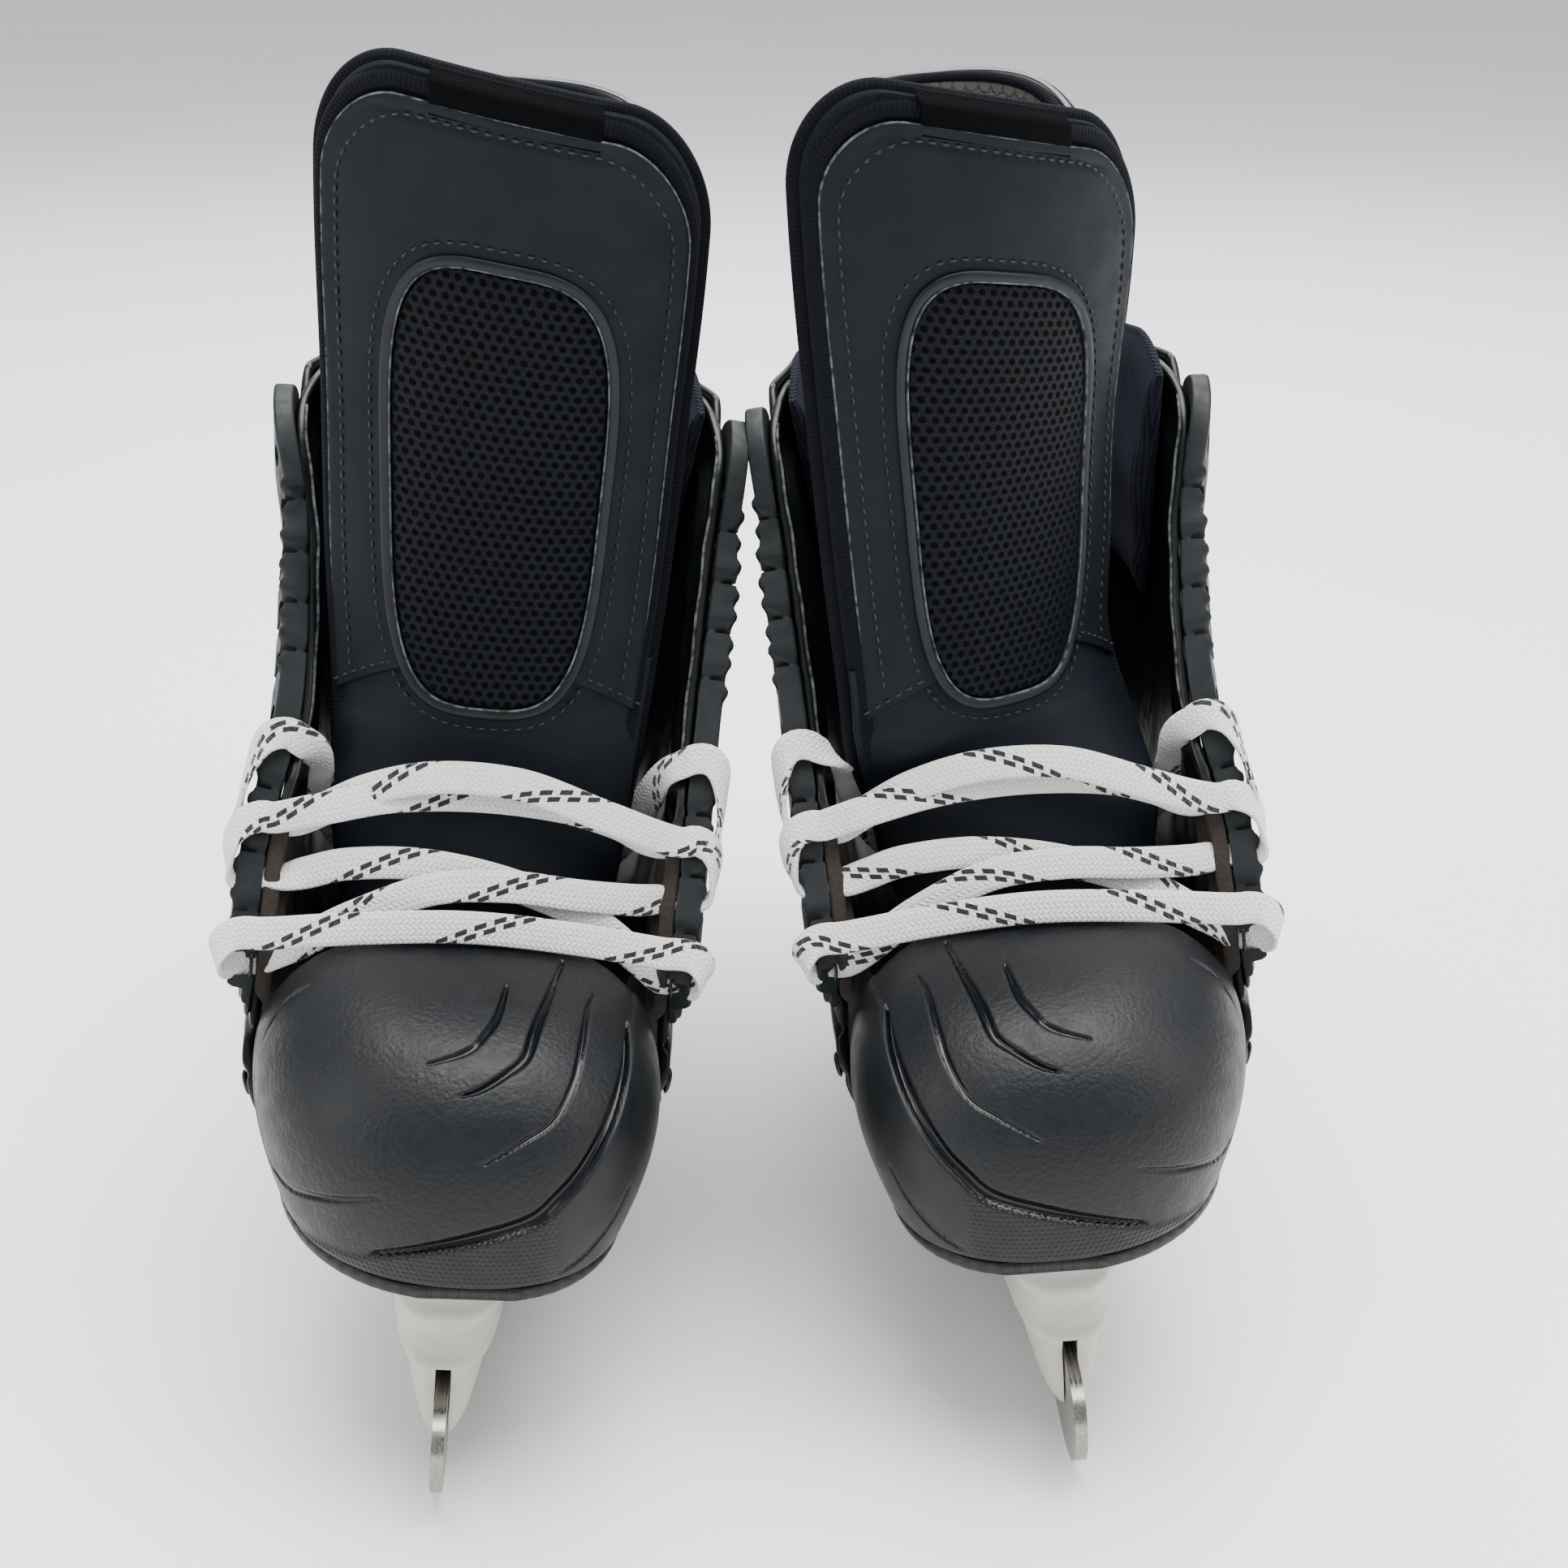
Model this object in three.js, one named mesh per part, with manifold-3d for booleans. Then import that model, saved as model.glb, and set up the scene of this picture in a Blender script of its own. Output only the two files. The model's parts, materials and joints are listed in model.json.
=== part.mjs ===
// A pair of ice hockey skates, standing side by side and leaning on each other.
// Millimetres, +Z up, toes towards -Y. Each skate is built in its own frame, with the runner's
// midpoint on the ice at the origin and +X towards the big toe, and the left one is its mirror.
import * as THREE from 'three';
import { mergeVertices } from 'three/addons/utils/BufferGeometryUtils.js';
import Module from 'manifold-3d';

const wasm = await Module();
wasm.setup();

// ---- Overall sizes -------------------------------------------------------------------------
const BOOT_LENGTH = 287; // toe tip to heel counter
const BOOT_WIDTH = 104; // across the ball of the foot
const BOOT_HEIGHT = 168; // outsole to the top of the eyestay
const SOLE_HEIGHT = 63; // ice to the outsole at the toe
const HEEL_LIFT = 12; // how much higher the heel stands
const RUNNER_LENGTH = 290;
const TONGUE_HEIGHT = 319; // ice to the top of the tongue
const GUARD_HEIGHT = 300; // ice to the top of the tendon guard

// ---- Walls and layers ----------------------------------------------------------------------
const OUTSOLE = 3.5;
const MIDSOLE = 2.5;
const FOOTBED = 5;
const SHELL_WALL = 3;
const LINER_WALL = 2.7;
const COLLAR_PAD = 6.5;
const CAP_WALL = 3;
const EYESTAY_WALL = 3.6;
const EYESTAY_WIDTH = 21; // from the throat edge down the side
const SHELL_SETBACK = 13; // the shell ends this far below the throat edge, behind the eyestay
const GUARD_WALL = 3;
const GUARD_LINING = 4;
const TONGUE_FELT = 6;
const TONGUE_FACE = 1.6;
const FACE_MARGIN = 3.5; // felt showing round the tongue's face
const PAD_THICKNESS = 3;
const PAD_WIDTH = 51;
const PAD_BOTTOM = 185; // heights above the ice
const PAD_TOP = 280;
const LABEL_WIDTH = 36;
const LABEL_HEIGHT = 8;
const LABEL_THICKNESS = 0.8;

// ---- Lacing --------------------------------------------------------------------------------
const EYELET_COUNT = 10;
const EYELET_PITCH = 13.2;
const FIRST_PITCH = 21; // the lowest eyelet stands apart from the rest
const EYELET_BORE = 5;
const EYELET_INSET = 6.5; // from the throat edge to the middle of the hole
const FIRST_EYELET = 8; // from the lower end of the throat, along its edge
const LACE_CORE = 2.6; // the flat lace rolled round
const HANK = { length: 104, width: 34, height: 13 };

// ---- Holder and runner ---------------------------------------------------------------------
const RUNNER_WALL = 3;
const RUNNER_TOP = 32.7; // height of the runner's top edge
const RUNNER_NOSE = 25; // radius of the upswept ends
const RUNNER_LEAD = 4.5; // how far ahead of the foot's middle the runner stands
const RUNNER_FLAT = 84; // level stretch under the foot
const ROCKER_RISE = 1.6; // lift where the upswept ends begin
const HOLDER_BOTTOM = 20;
const BRIDGE_TOP = 37;
const BRIDGE_WIDTH = 13;
const TOWER_FOOT = 14.5; // width of a tower at the bottom
const TOWER_NECK = 32; // width of a tower just under its flange
const FLANGE = 3;
const FRONT_FLANGE_WIDTH = 60;
const REAR_FLANGE_WIDTH = 56;
const RIVET = { bore: 4.6, shank: 4, head: 8.5, headHeight: 1.6 };
const HOOK_PIN = { bore: 4.6, diameter: 4, rise: 4.3 };
const TRIGGER = { width: 6.4, pin: 3, pinBore: 3.6 };
const RELEASE_ROOM = 2; // slot height left free ahead of the hook pin

// ---- Clearances ----------------------------------------------------------------------------
const GAP = 0.3;
const LAYER_GAP = 0.6; // between the boot's shell, liner and collar
const EYESTAY_GAP = 0.7; // between the shell and an eyestay
const CAP_GAP = 1.7; // between the toe cap and what comes behind it
const SLOT_CLEARANCE = 0.35; // each side of the runner
const PAD_GAP = 0.9; // between the tongue's face and its mesh pad
const SEAM_GAP = 2.6; // between the tongue's two lengths
const GUARD_GAP = 1.2; // between the boot's rim and the tendon guard
const PAIR_GAP = 0.3; // between the two skates where they touch

// ---- How each skate stands -----------------------------------------------------------------
const STANCE = {
  right: { lean: 6, toeIn: 0.8, tongue: { shift: -0.5, twist: -4, slant: 7, drop: 0 } },
  left: { lean: 4, toeIn: 2.4, tongue: { shift: 0.5, twist: -30, slant: -14, drop: 5 } },
};

// ---- Finishes ------------------------------------------------------------------------------
const FINISH = {
  shell: { color: 0x1b1e21, roughness: 0.35, metalness: 0 },
  plastic: { color: 0x24282c, roughness: 0.5, metalness: 0 },
  eyestay: { color: 0x32373a, roughness: 0.6, metalness: 0 },
  sole: { color: 0x17191b, roughness: 0.6, metalness: 0 },
  leather: { color: 0x1f252c, roughness: 0.75, metalness: 0 },
  felt: { color: 0x15181f, roughness: 0.95, metalness: 0 },
  mesh: { color: 0x0c0f12, roughness: 0.9, metalness: 0 },
  suede: { color: 0x3a3431, roughness: 1, metalness: 0 },
  foam: { color: 0x1c1f28, roughness: 0.95, metalness: 0 },
  white: { color: 0xe4e4e2, roughness: 0.4, metalness: 0 },
  lace: { color: 0xe6e3e1, roughness: 0.9, metalness: 0 },
  steel: { color: 0xb4b4b0, roughness: 0.35, metalness: 1 },
};

// ==== Geometry helpers ======================================================================

const vec = (x, y, z) => new THREE.Vector3(x, y, z);
const mix = THREE.MathUtils.lerp;
const clamp = THREE.MathUtils.clamp;
const degrees = THREE.MathUtils.degToRad;
const range = (count) => Array.from({ length: count + 1 }, (_, i) => i / count);

// One coordinate of a smooth line through evenly spaced values.
function smooth(values, t) {
  const place = clamp(t, 0, 1) * (values.length - 1);
  const i = Math.min(Math.floor(place), values.length - 2);
  const f = place - i;
  const b = values[i];
  const c = values[i + 1];
  const a = i > 0 ? values[i - 1] : 2 * b - c;
  const d = i + 2 < values.length ? values[i + 2] : 2 * c - b;
  const bend = 2 * a - 5 * b + 4 * c - d + (3 * b - a - 3 * c + d) * f;
  return b + 0.5 * f * (c - a + f * bend);
}

// A closed body between two skins that share one grid of parameters.
function slab(us, vs, outer, inner) {
  const columns = us.length;
  const rows = vs.length;
  const positions = [];
  for (const skin of [outer, inner]) {
    for (const v of vs) {
      for (const u of us) positions.push(...skin(u, v).toArray());
    }
  }
  const at = (layer, i, j) => layer * columns * rows + j * columns + i;
  const index = [];
  const quad = (a, b, c, d) => index.push(a, b, c, a, c, d);
  for (let j = 0; j < rows - 1; j++) {
    for (let i = 0; i < columns - 1; i++) {
      quad(at(0, i, j), at(0, i + 1, j), at(0, i + 1, j + 1), at(0, i, j + 1));
      quad(at(1, i, j), at(1, i, j + 1), at(1, i + 1, j + 1), at(1, i + 1, j));
    }
  }
  for (let i = 0; i < columns - 1; i++) {
    quad(at(0, i, 0), at(1, i, 0), at(1, i + 1, 0), at(0, i + 1, 0));
    quad(at(0, i, rows - 1), at(0, i + 1, rows - 1), at(1, i + 1, rows - 1), at(1, i, rows - 1));
  }
  for (let j = 0; j < rows - 1; j++) {
    quad(at(0, 0, j), at(0, 0, j + 1), at(1, 0, j + 1), at(1, 0, j));
    quad(at(0, columns - 1, j), at(1, columns - 1, j), at(1, columns - 1, j + 1), at(0, columns - 1, j + 1));
  }
  const geometry = new THREE.BufferGeometry();
  geometry.setAttribute('position', new THREE.Float32BufferAttribute(positions, 3));
  geometry.setIndex(index);
  return facingOut(geometry);
}

// Closed rings of points, one above the other, capped at both ends.
function loft(rings) {
  const count = rings[0].length;
  const positions = rings.flat().flatMap((p) => p.toArray());
  const index = [];
  for (let k = 0; k < rings.length - 1; k++) {
    for (let i = 0; i < count; i++) {
      const a = k * count + i;
      const b = k * count + ((i + 1) % count);
      index.push(a, b, b + count, a, b + count, a + count);
    }
  }
  const last = (rings.length - 1) * count;
  for (let i = 1; i < count - 1; i++) {
    index.push(0, i + 1, i, last, last + i, last + i + 1);
  }
  const geometry = new THREE.BufferGeometry();
  geometry.setAttribute('position', new THREE.Float32BufferAttribute(positions, 3));
  geometry.setIndex(index);
  return facingOut(geometry);
}

// Turns a closed mesh right side out when its volume comes out negative.
function facingOut(geometry) {
  const p = geometry.attributes.position;
  const index = geometry.index.array;
  let volume = 0;
  const [a, b, c] = [vec(), vec(), vec()];
  for (let i = 0; i < index.length; i += 3) {
    a.fromBufferAttribute(p, index[i]);
    b.fromBufferAttribute(p, index[i + 1]);
    c.fromBufferAttribute(p, index[i + 2]);
    volume += a.dot(b.cross(c));
  }
  if (volume < 0) {
    for (let i = 0; i < index.length; i += 3) {
      [index[i + 1], index[i + 2]] = [index[i + 2], index[i + 1]];
    }
  }
  return geometry;
}

function toManifold(geometry) {
  const bare = geometry.clone();
  bare.deleteAttribute('normal');
  bare.deleteAttribute('uv');
  const merged = mergeVertices(bare, 1e-4);
  return new wasm.Manifold(
    new wasm.Mesh({
      numProp: 3,
      vertProperties: Float32Array.from(merged.attributes.position.array),
      triVerts: Uint32Array.from(merged.index.array),
    }),
  );
}

function fromManifold(manifold) {
  const { numProp, vertProperties, triVerts } = manifold.getMesh();
  const positions = [];
  for (let i = 0; i < vertProperties.length; i += numProp) {
    positions.push(vertProperties[i], vertProperties[i + 1], vertProperties[i + 2]);
  }
  const geometry = new THREE.BufferGeometry();
  geometry.setAttribute('position', new THREE.Float32BufferAttribute(positions, 3));
  geometry.setIndex([...triVerts]);
  return geometry;
}

const cut = (body, tools) =>
  fromManifold(tools.reduce((left, tool) => left.subtract(toManifold(tool)), toManifold(body)));
const join = (bodies) =>
  fromManifold(bodies.map(toManifold).reduce((sum, body) => sum.add(body)));

// A round bar between two points.
function bar(from, to, diameter, sides = 8) {
  const along = to.clone().sub(from);
  const geometry = new THREE.CylinderGeometry(diameter / 2, diameter / 2, along.length(), sides);
  const turn = new THREE.Quaternion().setFromUnitVectors(vec(0, 1, 0), along.clone().normalize());
  geometry.applyQuaternion(turn);
  const middle = from.clone().lerp(to, 0.5);
  return geometry.translate(middle.x, middle.y, middle.z);
}

function block(x0, x1, y0, y1, z0, z1) {
  const geometry = new THREE.BoxGeometry(x1 - x0, y1 - y0, z1 - z0);
  return geometry.translate((x0 + x1) / 2, (y0 + y1) / 2, (z0 + z1) / 2);
}

// An outline in the side view (y, z), given as a Shape, made as thick as asked about x = 0.
function sidePlate(shape, thickness, segments = 10) {
  const geometry = new THREE.ExtrudeGeometry(shape, {
    depth: thickness,
    bevelEnabled: false,
    curveSegments: segments,
  });
  geometry.translate(0, 0, -thickness / 2);
  const turn = new THREE.Matrix4().makeBasis(vec(0, 1, 0), vec(0, 0, 1), vec(1, 0, 0));
  return geometry.applyMatrix4(turn);
}

// ==== The boot's outer form =================================================================

const LENGTH_SCALE = BOOT_LENGTH / 287;
const WIDTH_SCALE = BOOT_WIDTH / 104;
const HEIGHT_SCALE = BOOT_HEIGHT / 168;
const TOE_TIP = -0.497 * BOOT_LENGTH;
const along = (y) => y * LENGTH_SCALE;

// Underside of the outsole: level under the forefoot, raised under the heel.
const soleZ = (y) =>
  SOLE_HEIGHT + HEEL_LIFT * THREE.MathUtils.smoothstep(y, along(-50), along(60));
const upperZ = (y) => soleZ(y) + OUTSOLE + GAP;

// Upright profiles from the back of the toe cap, past the eyestay's top, to the middle of the
// heel. Each gives its place along the foot at the sole and at the rim, the rim's height over
// the sole, the half widths from sole to rim, what the outer side has more of it at the sole and
// at the rim, and how far the back bulges.
const PROFILES = [
  { foot: -92, rim: -79, rise: 43, half: [40, 48, 51, 50, 49], outer: [4, 3], bulge: [0, 0, 0, 0, 0] },
  { foot: -68, rim: -64, rise: 71, half: [42, 50, 52, 52, 51], outer: [5, 0], bulge: [0, 0, 0, 0, 0] },
  { foot: -40, rim: -44, rise: 102, half: [38, 46, 50, 53, 53], outer: [6, -8], bulge: [0, 0, 0, 0, 0] },
  { foot: -12, rim: -22, rise: 136, half: [32, 41, 47, 53, 56], outer: [6, -9], bulge: [0, 0, 0, 0, 0] },
  { foot: 14, rim: -3, rise: 161, half: [31, 39, 46, 53, 58], outer: [5, -5], bulge: [0, 0, 0, 0, 0] },
  { foot: 60, rim: 46, rise: 155, half: [31, 37, 43, 48, 51], outer: [2, -2], bulge: [0, 1, 1, 0, 0] },
  { foot: 116, rim: 96, rise: 160, half: [27, 33, 33, 31, 34], outer: [1, 0], bulge: [0, 5, 4, -2, 0] },
  { foot: 138, rim: 116, rise: 167, half: [0, 0, 0, 0, 0], outer: [0, 0], bulge: [0, 8, 6, -3, 0] },
];

// Both sides in order: inner front, heel, outer front.
const STATIONS = [...PROFILES, ...PROFILES.slice(0, -1).reverse()];
const HEEL = PROFILES.length - 1;
const atStation = (s, value) => smooth(STATIONS.map(value), s);

// A point of the boot's outer surface: s runs round the boot from 0 at the inner front through
// 0.5 at the heel to 1 at the outer front, v from 0 at the sole to 1 at the rim. Above the rim
// the surface runs straight on upwards.
function skin(s, v) {
  const w = clamp(v, 0, 1);
  const footY = atStation(s, (p) => along(p.foot));
  const rimY = atStation(s, (p) => along(p.rim));
  const rise = atStation(s, (p) => p.rise * HEIGHT_SCALE);
  const bulge = atStation(s, (p) => smooth(p.bulge, w));
  const x = smooth(
    STATIONS.map((p, i) => {
      const half = smooth(p.half, w) * WIDTH_SCALE;
      return i <= HEEL ? half : -(half + p.outer[0] * (1 - w) + p.outer[1] * w * w);
    }),
    s,
  );
  const y = mix(footY, rimY, w) + bulge;
  return vec(x, y, upperZ(footY) + rise * v);
}

// The same surface moved out (+) or in (-) along its normal.
function upper(s, v, depth = 0) {
  const step = 0.004;
  const s0 = clamp(s, step, 1 - step);
  const v0 = clamp(v, step, 1 - step);
  const round = skin(s0 + step, v0).sub(skin(s0 - step, v0));
  const up = skin(s0, v0 + step).sub(skin(s0, v0 - step));
  const normal = round.cross(up).normalize();
  return skin(s, v).addScaledVector(normal, depth);
}

// How far up the surface a distance below the rim is, as v.
const below = (s, distance) => 1 - distance / skin(s, 0).distanceTo(skin(s, 1));

const ROUND = range(28);
const RISES = [0, 0.15, 0.35, 0.58, 0.8, 1];
const THROAT_END = 0.285; // where the throat's edge turns into the collar's
const COLLAR_START = 0.315;
const LINER_START = 0.012;

// 1 along the throat, 0 along the collar.
function throatShare(s) {
  const fromFront = Math.min(s, 1 - s);
  return 1 - THREE.MathUtils.smoothstep(fromFront, THROAT_END, COLLAR_START);
}

// A layer of the boot between two depths, from v = bottom to v = top(s).
function layer(us, outerDepth, innerDepth, bottom, top) {
  const height = (s, v) => mix(bottom, top(s), v);
  return slab(
    us,
    RISES,
    (s, v) => upper(s, height(s, v), outerDepth),
    (s, v) => upper(s, height(s, v), innerDepth),
  );
}

const shellTop = (s) => mix(1, below(s, SHELL_SETBACK), throatShare(s));

function shell() {
  return layer(ROUND, 0, -SHELL_WALL, 0, shellTop);
}

function liner() {
  const outer = -SHELL_WALL - LAYER_GAP;
  const us = ROUND.map((s) => clamp(s, LINER_START, 1 - LINER_START));
  return layer(us, outer, outer - LINER_WALL, 0.02, (s) => shellTop(s) - 0.005);
}

// ---- The padded collar round the ankle -----------------------------------------------------

const GUARD_REACH = 0.088; // how far round the boot the guard goes each side of the heel

function collar() {
  const us = ROUND.filter((s) => Math.abs(s - 0.5) < 0.22);
  const outer = -SHELL_WALL - LINER_WALL - 3 * LAYER_GAP;
  const lift = (s) => THREE.MathUtils.smoothstep(Math.abs(s - 0.5), GUARD_REACH, GUARD_REACH + 0.05);
  const top = (s) => 0.985 + 0.055 * lift(s);
  const height = (s, v) => mix(0.6, top(s), v);
  const thick = (v) => COLLAR_PAD * Math.sqrt(Math.max(0.12, 4 * v * (1 - v)));
  return slab(
    us,
    range(4),
    (s, v) => upper(s, height(s, v), outer),
    (s, v) => upper(s, height(s, v), outer - thick(v)),
  );
}

// ---- Tendon guard --------------------------------------------------------------------------

// a runs from -1 to 1 round the guard and h from 0 to 1 up it.
function guardPoint(a, h, depth) {
  const s = 0.5 + a * GUARD_REACH;
  const root = upper(s, 1, depth);
  const drop = 14 * Math.abs(a) ** 4;
  const rise = GUARD_HEIGHT - drop - root.z;
  const flare = h * h;
  root.x *= 1 + 0.06 * flare;
  root.y += 11 * flare;
  root.z += GUARD_GAP + (rise - GUARD_GAP) * h;
  return root;
}

function guard(outer, inner, share) {
  const us = range(12).map((t) => (2 * t - 1) * share);
  return slab(
    us,
    range(4).map((h) => h * share),
    (a, h) => guardPoint(a, h, outer),
    (a, h) => guardPoint(a, h, inner),
  );
}

// ==== Toe cap ===============================================================================

const capRearY = (z) => along(-92 + (0.283 * (z - SOLE_HEIGHT)) / HEIGHT_SCALE) - CAP_GAP;
const CAP_HEIGHT = 55 * HEIGHT_SCALE;

// angle goes from -90 degrees at the outer rear, through 0 at the tip, to 90 at the inner rear;
// t from 0 at the sole to 1 at the top of the dome.
function capPoint(angle, t, inset) {
  const climb = Math.sin((t * Math.PI) / 2) ** 0.85;
  const spread = Math.cos((t * Math.PI) / 2) ** 0.5;
  const z = upperZ(TOE_TIP) + (CAP_HEIGHT - inset) * climb;
  const side = Math.sin(angle);
  const rear = side > 0 ? 40.5 : 44.5;
  const belly = 10.5 * Math.sin(Math.min(1, climb * 1.15) * Math.PI * 0.62);
  const half = (rear + belly) * WIDTH_SCALE - inset;
  const forward = Math.cos(angle) ** 0.82;
  const reach = capRearY(z) - TOE_TIP - inset;
  const x = half * spread * Math.sign(side) * Math.abs(side) ** 0.86 + 5.5 * forward * spread;
  return vec(x, capRearY(z) - reach * forward * spread, z);
}

function toeCap() {
  const angles = range(18).map((u) => (u - 0.5) * Math.PI);
  const heights = [0, 0.12, 0.28, 0.46, 0.64, 0.82, 0.97];
  return slab(
    angles,
    heights,
    (a, t) => capPoint(a, t, 0),
    (a, t) => capPoint(a, t, CAP_WALL),
  );
}

// ==== Sole plates ===========================================================================

// The footprint's edge on one side (+1 inner, -1 outer), as y from toe to heel with its x.
function footprintEdge(side) {
  const toe = range(12).map((t) => capPoint((side * t * Math.PI) / 2, 0, 0));
  const rest = range(24).map((t) => skin(side > 0 ? t / 2 : 1 - t / 2, 0));
  return [...toe, ...rest.slice(1)];
}
const EDGES = { 1: footprintEdge(1), '-1': footprintEdge(-1) };

function edgeX(side, y) {
  const edge = EDGES[side];
  const k = clamp(edge.findIndex((p) => p.y > y), 1, edge.length - 1);
  const [a, b] = [edge[k - 1], edge[k]];
  return mix(a.x, b.x, clamp((y - a.y) / (b.y - a.y), 0, 1));
}

// A plate that follows the footprint, inset at its edge, between two heights over the sole line.
function solePlate(inset, bottom, top) {
  const toe = TOE_TIP + inset + 1;
  const heel = along(138) - inset - 1;
  const place = (u) => mix(toe, heel, (1 - Math.cos(u * Math.PI)) / 2);
  const point = (u, w, height) => {
    const y = place(u);
    const outside = edgeX(-1, y) + inset;
    const inside = edgeX(1, y) - inset;
    const middle = (inside + outside) / 2;
    const half = Math.max((inside - outside) / 2, 2);
    return vec(middle + half * w, y, soleZ(y) + height);
  };
  const us = range(16);
  return slab(us, [-1, 0, 1], (u, w) => point(u, w, top), (u, w) => point(u, w, bottom));
}

const MIDSOLE_BOTTOM = OUTSOLE + GAP;
const MIDSOLE_TOP = MIDSOLE_BOTTOM + MIDSOLE;
const FOOTBED_TOP = MIDSOLE_TOP + GAP + FOOTBED;
const INSIDE = SHELL_WALL + LINER_WALL + 2 * LAYER_GAP + 3;

// ==== Eyestays ==============================================================================

const THROAT_SAMPLES = range(200).map((t) => t * THROAT_END);

// The place along the throat, as s on the inner side, a distance from its lower end.
function throatAt(distance) {
  let gone = 0;
  for (let i = 1; i < THROAT_SAMPLES.length; i++) {
    const step = skin(THROAT_SAMPLES[i], 1).distanceTo(skin(THROAT_SAMPLES[i - 1], 1));
    if (gone + step > distance) {
      return mix(THROAT_SAMPLES[i - 1], THROAT_SAMPLES[i], (distance - gone) / step);
    }
    gone += step;
  }
  return THROAT_END;
}

// One eyelet's axis, from inside the boot to outside it.
function eyelet(side, k, inner, outer) {
  const rest = k > 0 ? FIRST_PITCH + (k - 1) * EYELET_PITCH : 0;
  const s = throatAt(FIRST_EYELET + rest);
  const v = below(s, EYELET_INSET);
  const place = side > 0 ? s : 1 - s;
  return [upper(place, v, inner), upper(place, v, outer)];
}

function eyestay(side) {
  const us = [0.008, ...ROUND.filter((s) => s > 0.02 && s < THROAT_END), 0.3];
  const place = (s) => (side > 0 ? s : 1 - s);
  const width = (s) => EYESTAY_WIDTH + 5 * THREE.MathUtils.smoothstep(s, 0.2, 0.29);
  const height = (s, v) => mix(below(s, Math.min(width(s), 26)), 1, v);
  const body = slab(
    us,
    [0, 0.5, 1],
    (s, v) => upper(place(s), height(s, v), EYESTAY_GAP + EYESTAY_WALL),
    (s, v) => upper(place(s), height(s, v), EYESTAY_GAP),
  );
  const holes = range(EYELET_COUNT - 1).map((_, k) => {
    const [from, to] = eyelet(side, k, -4, EYESTAY_WALL + 5);
    return bar(from, to, EYELET_BORE, 6);
  });
  return cut(body, holes);
}

// ==== Tongue ================================================================================

// The middle of the tongue's face from the toe cap to the top, as (y, z) in the side view.
const TONGUE_LINE = [
  [-73.6, 119.5],
  [-65, 135],
  [-56.5, 153],
  [-51, 178],
  [-50, 207],
  [-53, 243],
  [-59, 280],
  [-67, 319],
];
const TONGUE_HALF = [33, 36, 38, 40, 42, 43, 44, 43.5];
const TONGUE_SAG = [17, 15, 13, 12, 12, 13, 13, 13];
const TONGUE_CORNER = 18; // radius of its top corners
const SEAM = 3 / 7; // how far along the tongue its two lengths meet
const SEAM_SHARE = SEAM_GAP / 2 / (TONGUE_HEIGHT - 119.5);
const tongueY = (u) => along(smooth(TONGUE_LINE.map((p) => p[0]), u));
const tongueZ = (u) => {
  const z = smooth(TONGUE_LINE.map((p) => p[1]), u);
  return mix(upperZ(TOE_TIP) + CAP_HEIGHT, TONGUE_HEIGHT, (z - 121.8) / (319 - 121.8));
};

// How much of its twist the tongue has taken up at u: it turns below the seam and eases above.
const tongueTurn = (u) => {
  const { smoothstep } = THREE.MathUtils;
  return smoothstep(u, 0.16, SEAM + 0.02) * (1 - 0.2 * smoothstep(u, 0.6, 1));
};

// u runs up the tongue, w from -1 at its outer edge to 1 at its inner one, trim pulls the edge
// in, and depth goes out of the face. The stance shifts, twists, slants and drops its upper end.
function tonguePoint(u, w, trim, depth, stance) {
  const step = 0.01;
  const rise = vec(0, tongueY(u + step) - tongueY(u - step), tongueZ(u + step) - tongueZ(u - step));
  const out = vec(0, -rise.z, rise.y).normalize();
  const corner = clamp(((u - 1) * (TONGUE_HEIGHT - 121.8)) / TONGUE_CORNER + 1, 0, 1);
  const full = smooth(TONGUE_HALF, u) * WIDTH_SCALE;
  const half = full - TONGUE_CORNER * (1 - Math.sqrt(1 - corner * corner));
  const x = half * w * (1 - trim / half);
  const sag = smooth(TONGUE_SAG, u) * (x / full) ** 2;
  const yaw = degrees(stance.twist) * tongueTurn(u);
  const free = THREE.MathUtils.smoothstep(u, SEAM, 1);
  const drop = x * Math.tan(degrees(stance.slant)) * free + stance.drop * free;
  const across = x * Math.cos(yaw) - sag * Math.sin(yaw);
  const back = x * Math.sin(yaw) + sag * Math.cos(yaw);
  const turned = vec(-out.y * Math.sin(yaw), out.y * Math.cos(yaw), out.z);
  const p = vec(across, tongueY(u) + back, tongueZ(u) - drop).addScaledVector(turned, depth);
  p.x += stance.shift * THREE.MathUtils.smoothstep(u, 0, 1);
  return p;
}

const ACROSS = [-1, -0.8, -0.45, 0, 0.45, 0.8, 1];
const heightAsU = (z) => {
  const samples = range(140);
  return samples.reduce((best, u) => (Math.abs(tongueZ(u) - z) < Math.abs(tongueZ(best) - z) ? u : best));
};

function tonguePatch(us, ws, trim, front, back, stance) {
  return slab(
    us,
    ws,
    (u, w) => tonguePoint(u, w, trim, front, stance),
    (u, w) => tonguePoint(u, w, trim, back, stance),
  );
}

const between = (from, to, count) => range(count).map((t) => mix(from, to, t));
const UPPER_START = SEAM + SEAM_SHARE;
const FACE_TOP = 1 - (LABEL_HEIGHT + 1.5) / (TONGUE_HEIGHT - 119.5);

function tongueLower(stance) {
  const us = between(0.004, SEAM - SEAM_SHARE, 4);
  return tonguePatch(us, ACROSS, 0, 0, -TONGUE_FELT - TONGUE_FACE, stance);
}

function tongueFelt(stance) {
  const us = between(UPPER_START, 1, 6);
  return tonguePatch(us, ACROSS, 0, -TONGUE_FACE - GAP, -TONGUE_FACE - TONGUE_FELT, stance);
}

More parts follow.
